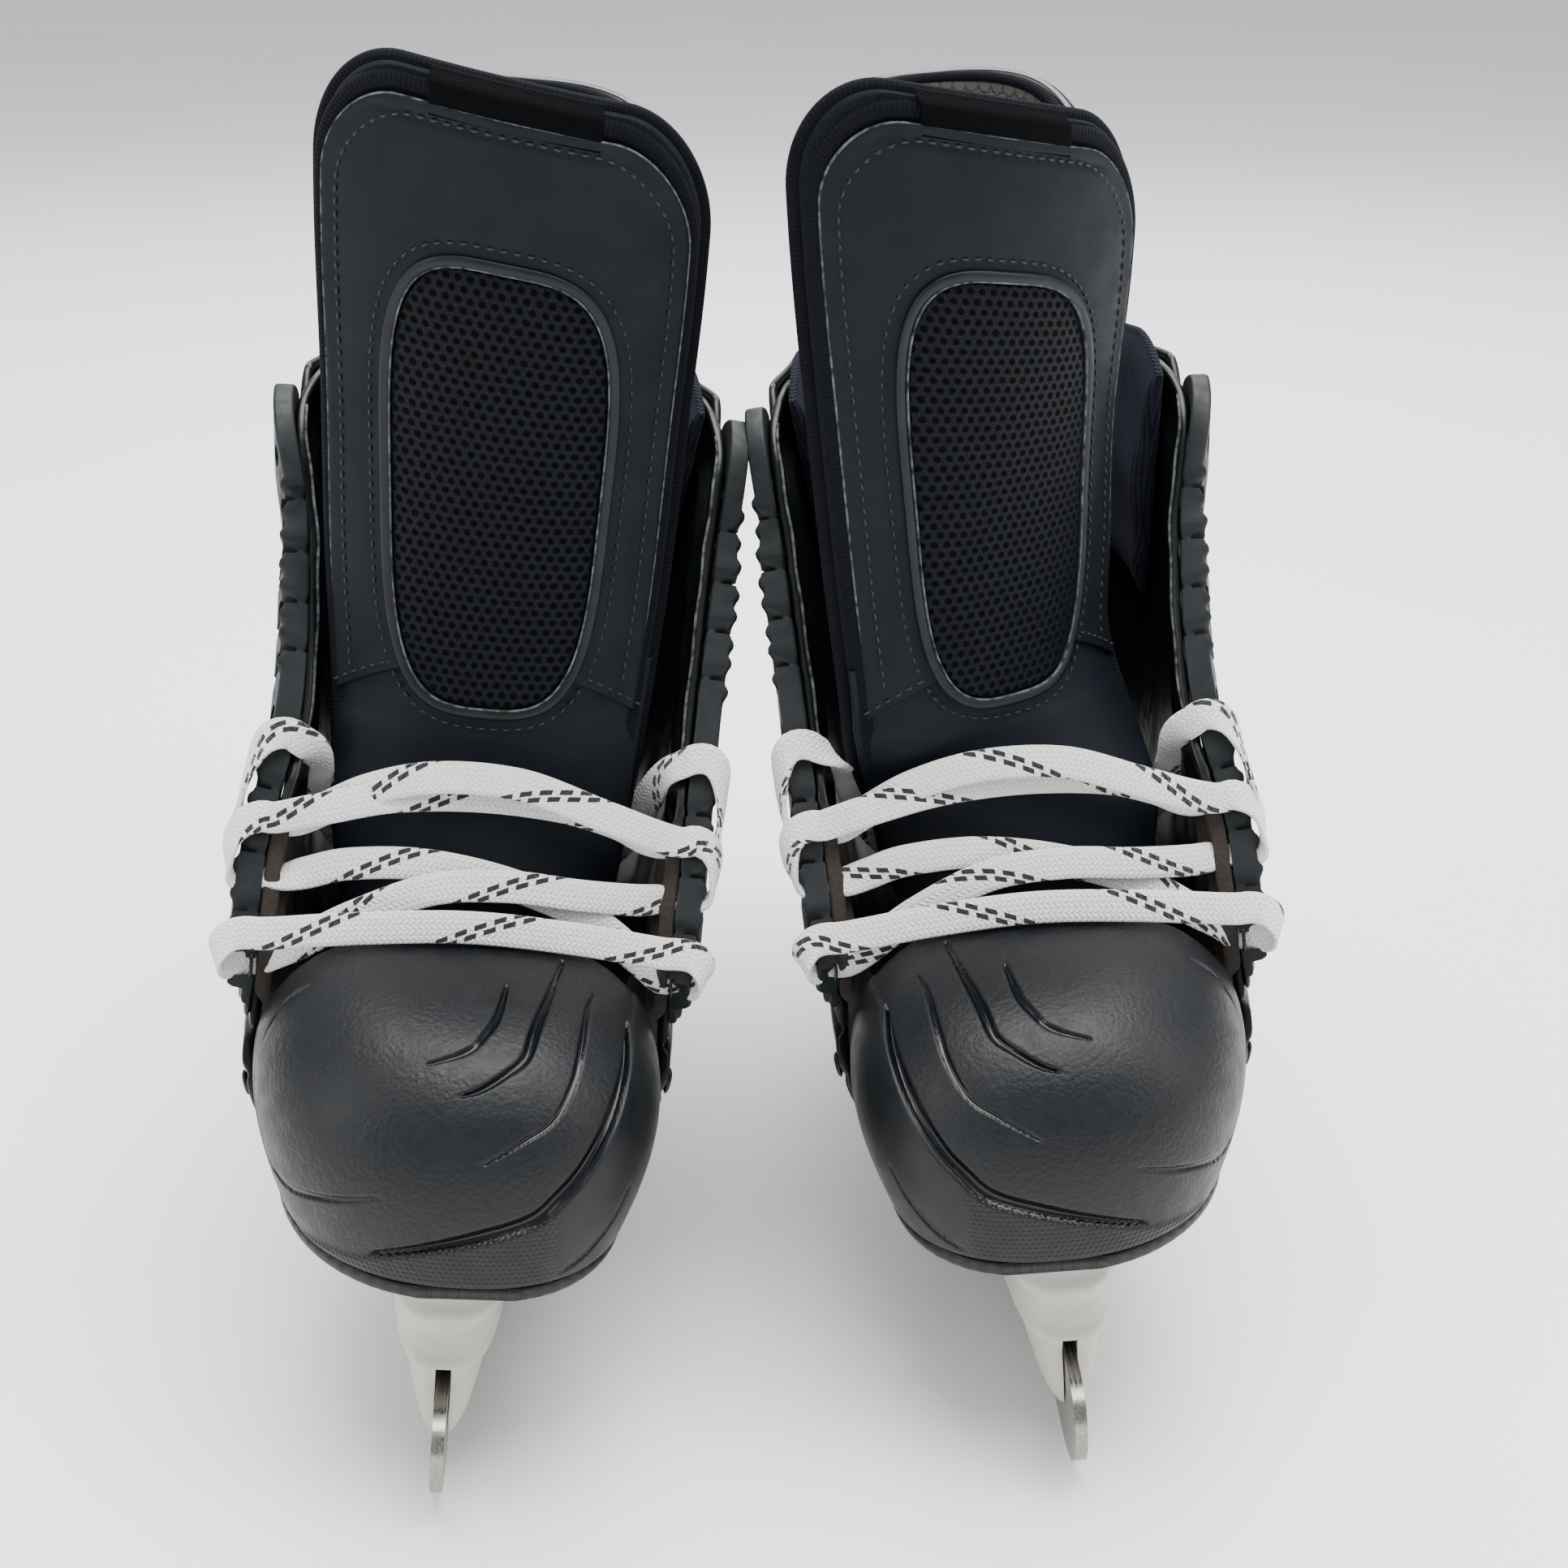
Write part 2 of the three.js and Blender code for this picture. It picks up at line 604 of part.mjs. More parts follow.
function tongueFace(stance) {
  const us = between(UPPER_START, FACE_TOP, 6);
  return tonguePatch(us, ACROSS, FACE_MARGIN, 0, -TONGUE_FACE, stance);
}

function tonguePad(stance) {
  const us = between(heightAsU(PAD_BOTTOM), heightAsU(PAD_TOP), 5);
  const reach = PAD_WIDTH / 2 / (smooth(TONGUE_HALF, 0.7) * WIDTH_SCALE);
  const ends = (u) => 1 - 0.45 * Math.abs((2 * (u - us[0])) / (us[5] - us[0]) - 1) ** 5;
  const ws = [-reach, -reach / 2, 0, reach / 2, reach];
  return slab(
    us,
    ws,
    (u, w) => tonguePoint(u, w * ends(u), 0, PAD_GAP + PAD_THICKNESS, stance),
    (u, w) => tonguePoint(u, w * ends(u), 0, PAD_GAP, stance),
  );
}

function tongueLabel(stance) {
  const reach = LABEL_WIDTH / 2 / (smooth(TONGUE_HALF, 1) * WIDTH_SCALE);
  const share = LABEL_HEIGHT / (TONGUE_HEIGHT - 119.5);
  const us = between(0.995 - share, 0.995, 1);
  const back = -TONGUE_FACE + GAP;
  return tonguePatch(us, [-reach, 0, reach], 0, back + LABEL_THICKNESS, back, stance);
}

// ==== Holder ================================================================================

// A level ring like a rounded rectangle.
function ring(y0, y1, half, z, round = 0.55) {
  const count = 16;
  return range(count)
    .slice(0, count)
    .map((t) => {
      const angle = t * 2 * Math.PI + Math.PI / count;
      const [c, s] = [Math.cos(angle), Math.sin(angle)];
      const x = half * Math.sign(c) * Math.abs(c) ** round;
      const y = (y0 + y1) / 2 + ((y1 - y0) / 2) * Math.sign(s) * Math.abs(s) ** round;
      return vec(x, y, typeof z === 'function' ? z(y) : z);
    });
}

const FRONT_TOWER = { foot: [-134, -52], neck: [-128, -46], flange: [-121, -36] };
const REAR_TOWER = { foot: [60, 129], neck: [62, 126], flange: [58, 130] };
const flangeTop = (y) => soleZ(y) - GAP;

function tower(place, flangeWidth) {
  const [f0, f1] = place.foot.map(along);
  const [n0, n1] = place.neck.map(along);
  const [p0, p1] = place.flange.map(along);
  const neckZ = (y) => flangeTop(y) - FLANGE - 4;
  const midZ = (HOLDER_BOTTOM + SOLE_HEIGHT) / 2 - 2;
  const column = loft([
    ring(f0, f1, TOWER_FOOT / 2, HOLDER_BOTTOM, 0.5),
    ring(mix(f0, n0, 0.5), mix(f1, n1, 0.45), mix(TOWER_FOOT, TOWER_NECK, 0.36) / 2, midZ),
    ring(n0, n1, TOWER_NECK / 2, neckZ),
    ring(n0, n1, TOWER_NECK / 2 + 0.6, (y) => flangeTop(y) - 0.4),
  ]);
  const plate = loft([
    ring(p0, p1, flangeWidth / 2, (y) => flangeTop(y) - FLANGE, 0.6),
    ring(p0, p1, flangeWidth / 2, flangeTop, 0.6),
  ]);
  return [column, plate];
}

const HOOK_Y = along(-92);
const HOOK_Z = RUNNER_TOP + HOOK_PIN.rise;
const LUG_Y = along(92);
const TRIGGER_Y = along(70);
const TRIGGER_Z = 52;
const RIVET_CLEAR = 7; // from the side of a tower's neck to the middle of a rivet
const RIVET_OUT = TOWER_NECK / 2 + RIVET_CLEAR;
const RIVETS = [
  { x: RIVET_OUT, y: along(-92) },
  { x: -RIVET_OUT, y: along(-68) },
  { x: RIVET_OUT - 1, y: along(80) },
  { x: -RIVET_OUT + 1, y: along(106) },
];

function holder() {
  const bridgeRing = (y, rise) => {
    const half = BRIDGE_WIDTH / 2;
    const top = BRIDGE_TOP + rise;
    return [
      vec(half - 1, y, HOLDER_BOTTOM),
      vec(half, y, HOLDER_BOTTOM + 3),
      vec(half - 1, y, top - 3),
      vec(half - 4, y, top),
      vec(-half + 4, y, top),
      vec(-half + 1, y, top - 3),
      vec(-half, y, HOLDER_BOTTOM + 3),
      vec(-half + 1, y, HOLDER_BOTTOM),
    ];
  };
  const bridge = loft([
    bridgeRing(along(-62), 6),
    bridgeRing(along(-40), 1),
    bridgeRing(0, 0),
    bridgeRing(along(50), 1),
    bridgeRing(along(70), 5),
  ]);
  const body = join([
    ...tower(FRONT_TOWER, FRONT_FLANGE_WIDTH),
    ...tower(REAR_TOWER, REAR_FLANGE_WIDTH),
    bridge,
  ]);
  const half = RUNNER_WALL / 2 + SLOT_CLEARANCE;
  const roof = RUNNER_TOP + SLOT_CLEARANCE;
  const slot = block(-half, half, -200, 200, HOLDER_BOTTOM - 5, roof);
  const nose = block(-half, half, -200, HOOK_Y, roof - 1, roof + RELEASE_ROOM);
  const hookPocket = block(-half, half, HOOK_Y - 11, HOOK_Y + 11, roof - 1, HOOK_Z + 8);
  const lugPocket = block(-half, half, LUG_Y - 9, LUG_Y + 9, roof - 1, RUNNER_TOP + 13);
  const wide = TRIGGER.width / 2 + 0.5;
  const well = block(-wide, wide, along(50), TRIGGER_Y + 7, BRIDGE_TOP + 4, TRIGGER_Z + 7);
  const side = TOWER_NECK;
  const pinBore = bar(vec(-side, TRIGGER_Y, TRIGGER_Z), vec(side, TRIGGER_Y, TRIGGER_Z), TRIGGER.pinBore);
  const hookBore = bar(vec(-side, HOOK_Y, HOOK_Z), vec(side, HOOK_Y, HOOK_Z), HOOK_PIN.bore);
  const rivetBores = RIVETS.map(({ x, y }) => bar(vec(x, y, 45), vec(x, y, 90), RIVET.bore, 6));
  return cut(body, [slot, nose, hookPocket, lugPocket, well, pinBore, hookBore, ...rivetBores]);
}

// The steel: a level stretch, a gentle rocker each way, upswept ends and two lugs on top.
function runner() {
  const front = -RUNNER_LENGTH / 2 - RUNNER_LEAD;
  const back = RUNNER_LENGTH / 2 - RUNNER_LEAD;
  const r = RUNNER_NOSE;
  const shape = new THREE.Shape();
  shape.moveTo(-RUNNER_FLAT / 2, 0);
  shape.lineTo(RUNNER_FLAT / 2, 0);
  shape.quadraticCurveTo(mix(RUNNER_FLAT / 2, back - r, 0.5), 0, back - r, ROCKER_RISE);
  shape.quadraticCurveTo(back - 6, ROCKER_RISE + 1.5, back, r - 4);
  shape.lineTo(back - 4, r + 1);
  shape.lineTo(back - 14, RUNNER_TOP);
  shape.lineTo(LUG_Y + 7, RUNNER_TOP);
  shape.lineTo(LUG_Y + 6, RUNNER_TOP + 10);
  shape.lineTo(LUG_Y - 2, RUNNER_TOP + 10);
  shape.lineTo(LUG_Y - 3, RUNNER_TOP + 5);
  shape.lineTo(LUG_Y - 6, RUNNER_TOP);
  shape.lineTo(HOOK_Y + 8, RUNNER_TOP);
  shape.lineTo(HOOK_Y + 7, HOOK_Z + 4.5);
  shape.lineTo(HOOK_Y - 3, HOOK_Z + 5.5);
  shape.lineTo(HOOK_Y - 3.4, HOOK_Z + 2.6);
  shape.lineTo(HOOK_Y + 2.7, HOOK_Z + 2.6);
  shape.lineTo(HOOK_Y + 2.7, HOOK_Z - 2.6);
  shape.lineTo(HOOK_Y - 8, HOOK_Z - 3.4);
  shape.lineTo(HOOK_Y - 10, RUNNER_TOP - 1.5);
  shape.lineTo(front + 15, RUNNER_TOP - 2);
  shape.lineTo(front + 4, r + 2);
  shape.lineTo(front, r - 3);
  shape.quadraticCurveTo(front + 5, ROCKER_RISE + 2, front + r, ROCKER_RISE);
  shape.quadraticCurveTo(mix(-RUNNER_FLAT / 2, front + r, 0.5), 0, -RUNNER_FLAT / 2, 0);
  return sidePlate(shape, RUNNER_WALL, 6);
}

function trigger() {
  const shape = new THREE.Shape();
  const y = TRIGGER_Y;
  const z = TRIGGER_Z;
  shape.moveTo(y + 4.5, z + 1);
  shape.quadraticCurveTo(y + 3, z + 5, y - 1, z + 5);
  shape.lineTo(y - 5, z + 3);
  shape.lineTo(y - 12, z - 5);
  shape.lineTo(y - 15, z - 10.5);
  shape.lineTo(y - 11, z - 9.5);
  shape.lineTo(y - 4, z - 5);
  shape.lineTo(y + 3, z - 4);
  const body = sidePlate(shape, TRIGGER.width, 4);
  return cut(body, [bar(vec(-9, y, z), vec(9, y, z), TRIGGER.pinBore)]);
}

function rivet({ x, y }) {
  const under = flangeTop(y) - FLANGE - GAP;
  const top = soleZ(y) + OUTSOLE - 0.2;
  const head = bar(vec(x, y, under - RIVET.headHeight), vec(x, y, under), RIVET.head, 8);
  const shank = bar(vec(x, y, under - 0.5), vec(x, y, top), RIVET.shank, 8);
  return join([head, shank]);
}

function outsole() {
  const bores = RIVETS.map(({ x, y }) => bar(vec(x, y, 50), vec(x, y, 95), RIVET.bore, 6));
  return cut(solePlate(1, 0, OUTSOLE), bores);
}

const crossPin = (y, z, diameter, half) => bar(vec(-half, y, z), vec(half, y, z), diameter);

// ==== Lace ==================================================================================

// One lace: from its hank inside the boot up over one edge of the throat, through the three
// lowest eyelets of both sides, over the other edge and back down to the hank. The points are
// chosen by hand in the skate's frame.
const LACE_ROUTE = [
  [-14, -9.6, 93], [-26, -17, 108], [-37, -29, 126], [-42, -41, 144], [-45.4, -48.6, 155.5],
  [-50, -51, 159.8], [-53, -51.5, 161.6], [-56.5, -52, 161.4], [-59, -52.8, 158.4],
  [-60, -55, 151], [-59.6, -58, 144.5], [-57.6, -59.6, 141.1],
  [-52, -58.7, 140.5], [-46.5, -58.2, 140.4],
  [-40, -59.5, 145], [-27, -62, 153], [-10, -64, 158], [10, -64.5, 157.5], [29, -65.5, 151.5],
  [43, -65, 146.3], [50, -63.6, 144], [53.5, -63.4, 144.6], [57.4, -63.4, 142.6],
  [59, -64.4, 138], [58.6, -66.4, 132], [57, -67.2, 129.7],
  [52, -66.2, 129.2], [46.5, -65.6, 128.9],
  [40, -68, 129.5], [26, -72, 132], [8, -73.4, 134.2], [-10, -73.8, 132.5],
  [-28, -74.8, 124.5], [-41, -75.4, 115.5], [-47.2, -75, 110.8],
  [-52, -77.2, 111.5], [-56.6, -79.8, 112.8], [-57.8, -80.3, 116.2], [-55.8, -79.8, 119.8],
  [-52, -79.2, 121], [-46, -80, 121.6],
  [-25, -81.2, 125], [0, -80.4, 126.2], [25, -81.2, 125],
  [46, -80, 121.6], [52, -79.2, 121], [55.8, -79.8, 119.8], [57.8, -80.3, 116.2],
  [56.6, -79.8, 112.8], [52, -77.2, 111.5], [47.2, -75, 110.8],
  [41, -73.8, 116.5], [27, -71.6, 126.5], [8, -69.8, 133.2], [-12, -68.4, 136.3],
  [-30, -66.4, 134.5], [-40, -65.4, 131], [-46.5, -65.4, 129],
  [-52, -66.2, 129.3], [-57, -67.2, 129.8], [-58.8, -66.8, 133.6], [-59, -65.4, 139],
  [-57.4, -64.2, 143], [-53.5, -63.8, 144.8], [-50, -63.6, 144.6],
  [-38, -63.6, 148], [-20, -62.6, 151.6], [0, -61.4, 152.4], [20, -60.4, 150.4],
  [34, -59, 146], [41, -58.2, 142], [46.5, -58, 140.3],
  [52, -58.7, 140.4], [57.6, -59.6, 141.1], [59.6, -58, 144.5], [60, -55, 151],
  [59, -52.8, 158.4], [56.5, -52, 161.4], [53, -51.5, 161.6], [50, -51, 159.8],
  [45.4, -48.6, 155.5], [42, -41, 144], [37, -29, 126], [26, -17, 108], [14, -9.6, 93],
];

// Draws a point of the lace in with the outer edge of the throat, which narrows above the toes.
function overThroat([x, y, z]) {
  const narrowing = (z - 138) * (z > 138 ? 0.26 : 0.11);
  return [x + narrowing * clamp((-x - 20) / 25, 0, 1), y, z];
}

function tube(points, diameter, sides = 8) {
  const line = points.map((p) => vec(...p));
  let normal = vec(1, 0, 0);
  const rings = line.map((p, i) => {
    const ahead = line[Math.min(i + 1, line.length - 1)];
    const behind = line[Math.max(i - 1, 0)];
    const tangent = ahead.clone().sub(behind).normalize();
    normal = normal.clone().addScaledVector(tangent, -normal.dot(tangent)).normalize();
    const side = tangent.clone().cross(normal);
    return range(sides)
      .slice(0, sides)
      .map((t) => {
        const angle = t * 2 * Math.PI;
        return p
          .clone()
          .addScaledVector(normal, (Math.cos(angle) * diameter) / 2)
          .addScaledVector(side, (Math.sin(angle) * diameter) / 2);
      });
  });
  return loft(rings);
}

function laceHank() {
  const z0 = soleZ(along(40)) + FOOTBED_TOP + GAP + 1;
  const middle = along(44);
  const half = HANK.length / 2;
  return loft([
    ring(middle - half, middle + half, HANK.width / 2 - 1, z0, 0.5),
    ring(middle - half, middle + half, HANK.width / 2, z0 + HANK.height / 2, 0.5),
    ring(middle - half, middle + half, HANK.width / 2 - 2, z0 + HANK.height, 0.5),
  ]);
}

// ==== Putting a skate together ==============================================================

function skate(side) {
  const { lean, toeIn, tongue } = STANCE[side];
  const group = new THREE.Group();
  group.name = `${side}_skate`;
  const add = (name, geometry, finish) => {
    const mesh = new THREE.Mesh(geometry, new THREE.MeshStandardMaterial(FINISH[finish]));
    mesh.name = `${side}_${name}`;
    group.add(mesh);
  };
  add('quarter_shell', shell(), 'shell');
  add('liner', liner(), 'suede');
  add('ankle_collar', collar(), 'foam');
  add('toe_cap', toeCap(), 'plastic');
  add('outsole', outsole(), 'sole');
  add('midsole', solePlate(INSIDE, MIDSOLE_BOTTOM, MIDSOLE_TOP), 'sole');
  add('footbed', solePlate(INSIDE, MIDSOLE_TOP + GAP, FOOTBED_TOP), 'foam');
  add('eyestay_inner', eyestay(1), 'eyestay');
  add('eyestay_outer', eyestay(-1), 'eyestay');
  add('tongue_lower', tongueLower(tongue), 'leather');
  add('tongue_felt', tongueFelt(tongue), 'felt');
  add('tongue_face', tongueFace(tongue), 'leather');
  add('tongue_mesh_pad', tonguePad(tongue), 'mesh');
  add('tongue_label', tongueLabel(tongue), 'felt');
  add('tendon_guard', guard(0, -GUARD_WALL, 1), 'plastic');
  add('tendon_guard_lining', guard(-GUARD_WALL - GAP, -GUARD_WALL - GAP - GUARD_LINING, 0.94), 'foam');
  add('holder', holder(), 'white');
  add('runner', runner(), 'steel');
  add('hook_pin', crossPin(HOOK_Y, HOOK_Z, HOOK_PIN.diameter, 7), 'steel');
  add('trigger', trigger(), 'plastic');
  add('trigger_pin', crossPin(TRIGGER_Y, TRIGGER_Z, TRIGGER.pin, 9), 'steel');
  RIVETS.forEach((place, k) => add(`holder_rivet_${k + 1}`, rivet(place), 'steel'));
  const crossing = side === 'left' ? -1 : 1; // both laces cross the same way, not mirrored
  add('lace', tube(LACE_ROUTE.map((p) => overThroat([p[0] * crossing, p[1], p[2]])), LACE_CORE), 'lace');
  add('lace_hank', laceHank(), 'lace');
  const mirror = side === 'left' ? -1 : 1;
  group.scale.x = mirror;
  group.rotation.order = 'ZYX';
  group.rotation.y = degrees(lean) * mirror;
  group.rotation.z = degrees(toeIn) * mirror;
  return group;
}

// The two skates meet at x = 0, where their eyestays touch, and stand on the ice.
const pair = new THREE.Group();
for (const side of ['right', 'left']) {
  const one = skate(side);
  one.updateMatrixWorld(true);
  const box = new THREE.Box3().setFromObject(one, true);
  one.position.x = side === 'right' ? -PAIR_GAP / 2 - box.max.x : PAIR_GAP / 2 - box.min.x;
  one.position.z = -box.min.z;
  pair.add(one);
}
pair.updateMatrixWorld(true);
const reach = new THREE.Box3().setFromObject(pair, true);
pair.position.x = -(reach.min.x + reach.max.x) / 2;
pair.position.y = -(reach.min.y + reach.max.y) / 2;

export default pair;
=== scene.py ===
# Looks for a pair of ice hockey skates that stand side by side and lean on each other.
# Laid out as a Blender add-on and run as a script. Lengths inside the file are millimetres in a
# skate's own frame until Skate.world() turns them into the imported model's metres.
import json
import math

import bmesh
import bpy
import numpy as np
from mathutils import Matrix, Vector
from mathutils.geometry import tessellate_polygon


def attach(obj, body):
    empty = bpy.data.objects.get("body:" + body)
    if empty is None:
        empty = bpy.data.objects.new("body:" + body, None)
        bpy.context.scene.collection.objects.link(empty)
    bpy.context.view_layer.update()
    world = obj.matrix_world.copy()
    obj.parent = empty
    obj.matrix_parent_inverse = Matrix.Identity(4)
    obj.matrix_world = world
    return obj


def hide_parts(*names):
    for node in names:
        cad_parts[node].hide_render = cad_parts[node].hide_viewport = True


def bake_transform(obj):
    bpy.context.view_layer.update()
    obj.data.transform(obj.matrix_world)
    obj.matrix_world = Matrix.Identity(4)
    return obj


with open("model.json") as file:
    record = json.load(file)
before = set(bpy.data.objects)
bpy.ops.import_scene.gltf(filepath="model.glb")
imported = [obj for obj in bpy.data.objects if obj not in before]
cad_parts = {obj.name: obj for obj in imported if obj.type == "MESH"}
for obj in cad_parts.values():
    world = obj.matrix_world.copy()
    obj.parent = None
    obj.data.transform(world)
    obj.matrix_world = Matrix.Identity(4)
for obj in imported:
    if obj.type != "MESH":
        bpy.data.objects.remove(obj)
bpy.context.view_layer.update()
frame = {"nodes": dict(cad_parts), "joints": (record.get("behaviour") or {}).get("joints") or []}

bl_info = {
    "name": "Ice Hockey Skates",
    "version": (1, 0, 0),
    "blender": (4, 5, 0),
    "location": "View3D > Sidebar > Skates",
    "description": "Builds the shown surfaces of a laced pair of ice hockey skates",
    "category": "Object",
}

SIDES = ("right", "left")


def linear(code):
    """An sRGB hex value as linear red, green and blue."""
    parts = [int(code[i : i + 2], 16) / 255 for i in (1, 3, 5)]
    return tuple(c / 12.92 if c <= 0.04045 else ((c + 0.055) / 1.055) ** 2.4 for c in parts)


def paint(name, description, code):
    """A colour that can be picked, starting as an sRGB hex value."""
    return bpy.props.FloatVectorProperty(
        name=name, description=description, size=3, subtype="COLOR", min=0, max=1,
        default=linear(code))


class SkateColours(bpy.types.PropertyGroup):
    """Colours that a user of the skates may change."""

    tongue: paint("Tongue", "Coated microfibre of the tongue", "#0f141a")
    binding: paint("Binding", "Ribbed knit that binds the tongue", "#0a0c12")
    cap: paint("Toe cap", "Grained plastic of the toe cap", "#0c0f12")
    shell: paint("Shell", "Clear-coated composite of the boot", "#0a0c0e")
    eyestay: paint("Eyestay", "Rubbery plastic along the throat", "#171b1d")
    holder: paint("Holder", "Moulded nylon under the boot", "#b9b5aa")
    lace: paint("Lace", "Bleached cotton of the lace", "#ece9e6")
    tracer: paint("Lace tracer", "The two dark yarns in the lace", "#06070a")


class SkateSizes(bpy.types.PropertyGroup):
    """Sizes that a user of the skates may change."""

    lace_width: bpy.props.FloatProperty(
        name="Lace width", description="Width of the flat lace", default=0.008, min=0.006,
        max=0.01, unit="LENGTH")
    lace_thickness: bpy.props.FloatProperty(
        name="Lace thickness", description="Thickness of the flat lace", default=0.0016,
        min=0.001, max=0.0025, unit="LENGTH")
    lace_length: bpy.props.FloatProperty(
        name="Lace length", description="Length of one lace between its tips", default=2.44,
        min=2.0, max=3.0, unit="LENGTH")
    hole_pitch: bpy.props.FloatProperty(
        name="Mesh hole pitch", description="Between the holes of the tongue's spacer mesh",
        default=0.0028, min=0.002, max=0.005, unit="LENGTH")
    stitch_pitch: bpy.props.FloatProperty(
        name="Stitch pitch", description="From one stitch to the next", default=0.003,
        min=0.002, max=0.006, unit="LENGTH")
    lens: bpy.props.FloatProperty(
        name="Lens", description="Focal length of the camera, in millimetres", default=48.4,
        min=20, max=120)


# ==== The skate's form ======================================================================
# Lengths here are millimetres in a skate's own frame: the origin on the ice under the middle of
# the foot, +Z up, toes towards -Y and +X towards the big toe.

TOE_TIP = -142.6
SOLE_LIFT = 12.0
SHELL_WALL = 3.0
CAP_RISE = 55.0
EYESTAY_WIDTH = 21.0
THROAT_END = 0.285
COLLAR_START = 0.315
GUARD_REACH = 0.088
GUARD_TOP = 300.0
SEAM = 3 / 7  # where the tongue's two lengths meet, as a share of its length

# Upright profiles from the back of the toe cap to the middle of the heel: place along the foot
# at the sole and at the rim, the rim's rise over the sole, half widths from sole to rim, the
# outer side's extra width at the sole and at the rim, and the back's bulge.
PROFILES = (
    (-92, -79, 43, (40, 48, 51, 50, 49), (4, 3), (0, 0, 0, 0, 0)),
    (-68, -64, 71, (42, 50, 52, 52, 51), (5, 0), (0, 0, 0, 0, 0)),
    (-40, -44, 102, (38, 46, 50, 53, 53), (6, -8), (0, 0, 0, 0, 0)),
    (-12, -22, 136, (32, 41, 47, 53, 56), (6, -9), (0, 0, 0, 0, 0)),
    (14, -3, 161, (31, 39, 46, 53, 58), (5, -5), (0, 0, 0, 0, 0)),
    (60, 46, 155, (31, 37, 43, 48, 51), (2, -2), (0, 1, 1, 0, 0)),
    (116, 96, 160, (27, 33, 33, 31, 34), (1, 0), (0, 5, 4, -2, 0)),
    (138, 116, 167, (0, 0, 0, 0, 0), (0, 0), (0, 8, 6, -3, 0)),
)
HEEL = len(PROFILES) - 1
STATIONS = PROFILES + PROFILES[-2::-1]


def smooth(values, t):
    """A smooth line through evenly spaced values, read at t from 0 to 1."""
    t = np.asarray(t, float)
    values = np.asarray(values, float)
    count = len(values)
    if values.ndim == 1:
        values = values.reshape((count,) + (1,) * t.ndim) + np.zeros(t.shape)
    place = np.clip(t, 0, 1) * (count - 1)
    i = np.minimum(place.astype(int), count - 2)
    f = place - i

    def pick(k):
        return np.take_along_axis(values, np.clip(k, 0, count - 1)[None], 0)[0]

    b, c = pick(i), pick(i + 1)
    a = np.where(i > 0, pick(i - 1), 2 * b - c)
    d = np.where(i + 2 < count, pick(i + 2), 2 * c - b)
    bend = 2 * a - 5 * b + 4 * c - d + (3 * b - a - 3 * c + d) * f
    return b + 0.5 * f * (c - a + f * bend)


def step(x, low, high):
    """0 below low, 1 above high and a smooth rise between."""
    t = np.clip((np.asarray(x, float) - low) / (high - low), 0, 1)
    return t * t * (3 - 2 * t)


def sole_z(y):
    """Height of the outsole's underside."""
    return 63 + SOLE_LIFT * step(y, -50, 60)


def upper_z(y):
    return sole_z(y) + 3.8


def skin(s, v):
    """The boot's outer surface: s runs from the inner front (0) round the heel (0.5) to the
    outer front (1), and v from the sole (0) to the rim (1)."""
    s, v = np.broadcast_arrays(np.asarray(s, float), np.asarray(v, float))
    w = np.clip(v, 0, 1)
    foot = smooth([p[0] for p in STATIONS], s)
    rim = smooth([p[1] for p in STATIONS], s)
    rise = smooth([p[2] for p in STATIONS], s)
    bulge = smooth(np.array([smooth(p[5], w) for p in STATIONS]), s)
    halves = [
        smooth(p[3], w) if i <= HEEL else -(smooth(p[3], w) + p[4][0] * (1 - w) + p[4][1] * w * w)
        for i, p in enumerate(STATIONS)
    ]
    x = smooth(np.array(halves), s)
    y = foot + (rim - foot) * w + bulge
    return np.stack([x, y, upper_z(foot) + rise * v], -1)


def unit(v):
    return v / np.maximum(np.linalg.norm(v, axis=-1, keepdims=True), 1e-9)


def upper(s, v, depth=0.0):
    """The same surface moved out (+) or in (-) along its normal."""
    s, v = np.broadcast_arrays(np.asarray(s, float), np.asarray(v, float))
    e = 0.004
    s0, v0 = np.clip(s, e, 1 - e), np.clip(v, e, 1 - e)
    normal = unit(np.cross(skin(s0 + e, v0) - skin(s0 - e, v0), skin(s0, v0 + e) - skin(s0, v0 - e)))
    return skin(s, v) + normal * np.asarray(depth, float)[..., None]


def below(s, distance):
    """How far up the surface (as v) a distance below the rim is."""
    s = np.asarray(s, float)
    wall = np.linalg.norm(skin(s, 0 * s) - skin(s, 0 * s + 1), axis=-1)
    return 1 - distance / wall


def throat_share(s):
    """1 along the throat, 0 along the collar."""
    return 1 - step(np.minimum(s, 1 - np.asarray(s, float)), THROAT_END, COLLAR_START)


def shell_top(s):
    return 1 + (below(s, 13.0) - 1) * throat_share(s)


def guard_point(a, h, depth):
    """a runs from -1 to 1 round the tendon guard and h from 0 to 1 up it."""
    a, h = np.broadcast_arrays(np.asarray(a, float), np.asarray(h, float))
    root = upper(0.5 + a * GUARD_REACH, 1 + 0 * a, depth)
    rise = GUARD_TOP - 14 * np.abs(a) ** 4 - root[..., 2]
    flare = h * h
    root[..., 0] *= 1 + 0.06 * flare
    root[..., 1] += 11 * flare
    root[..., 2] += 1.2 + (rise - 1.2) * h
    return root


def cap_rear(z):
    return -92 + 0.283 * (z - 63) - 1.7


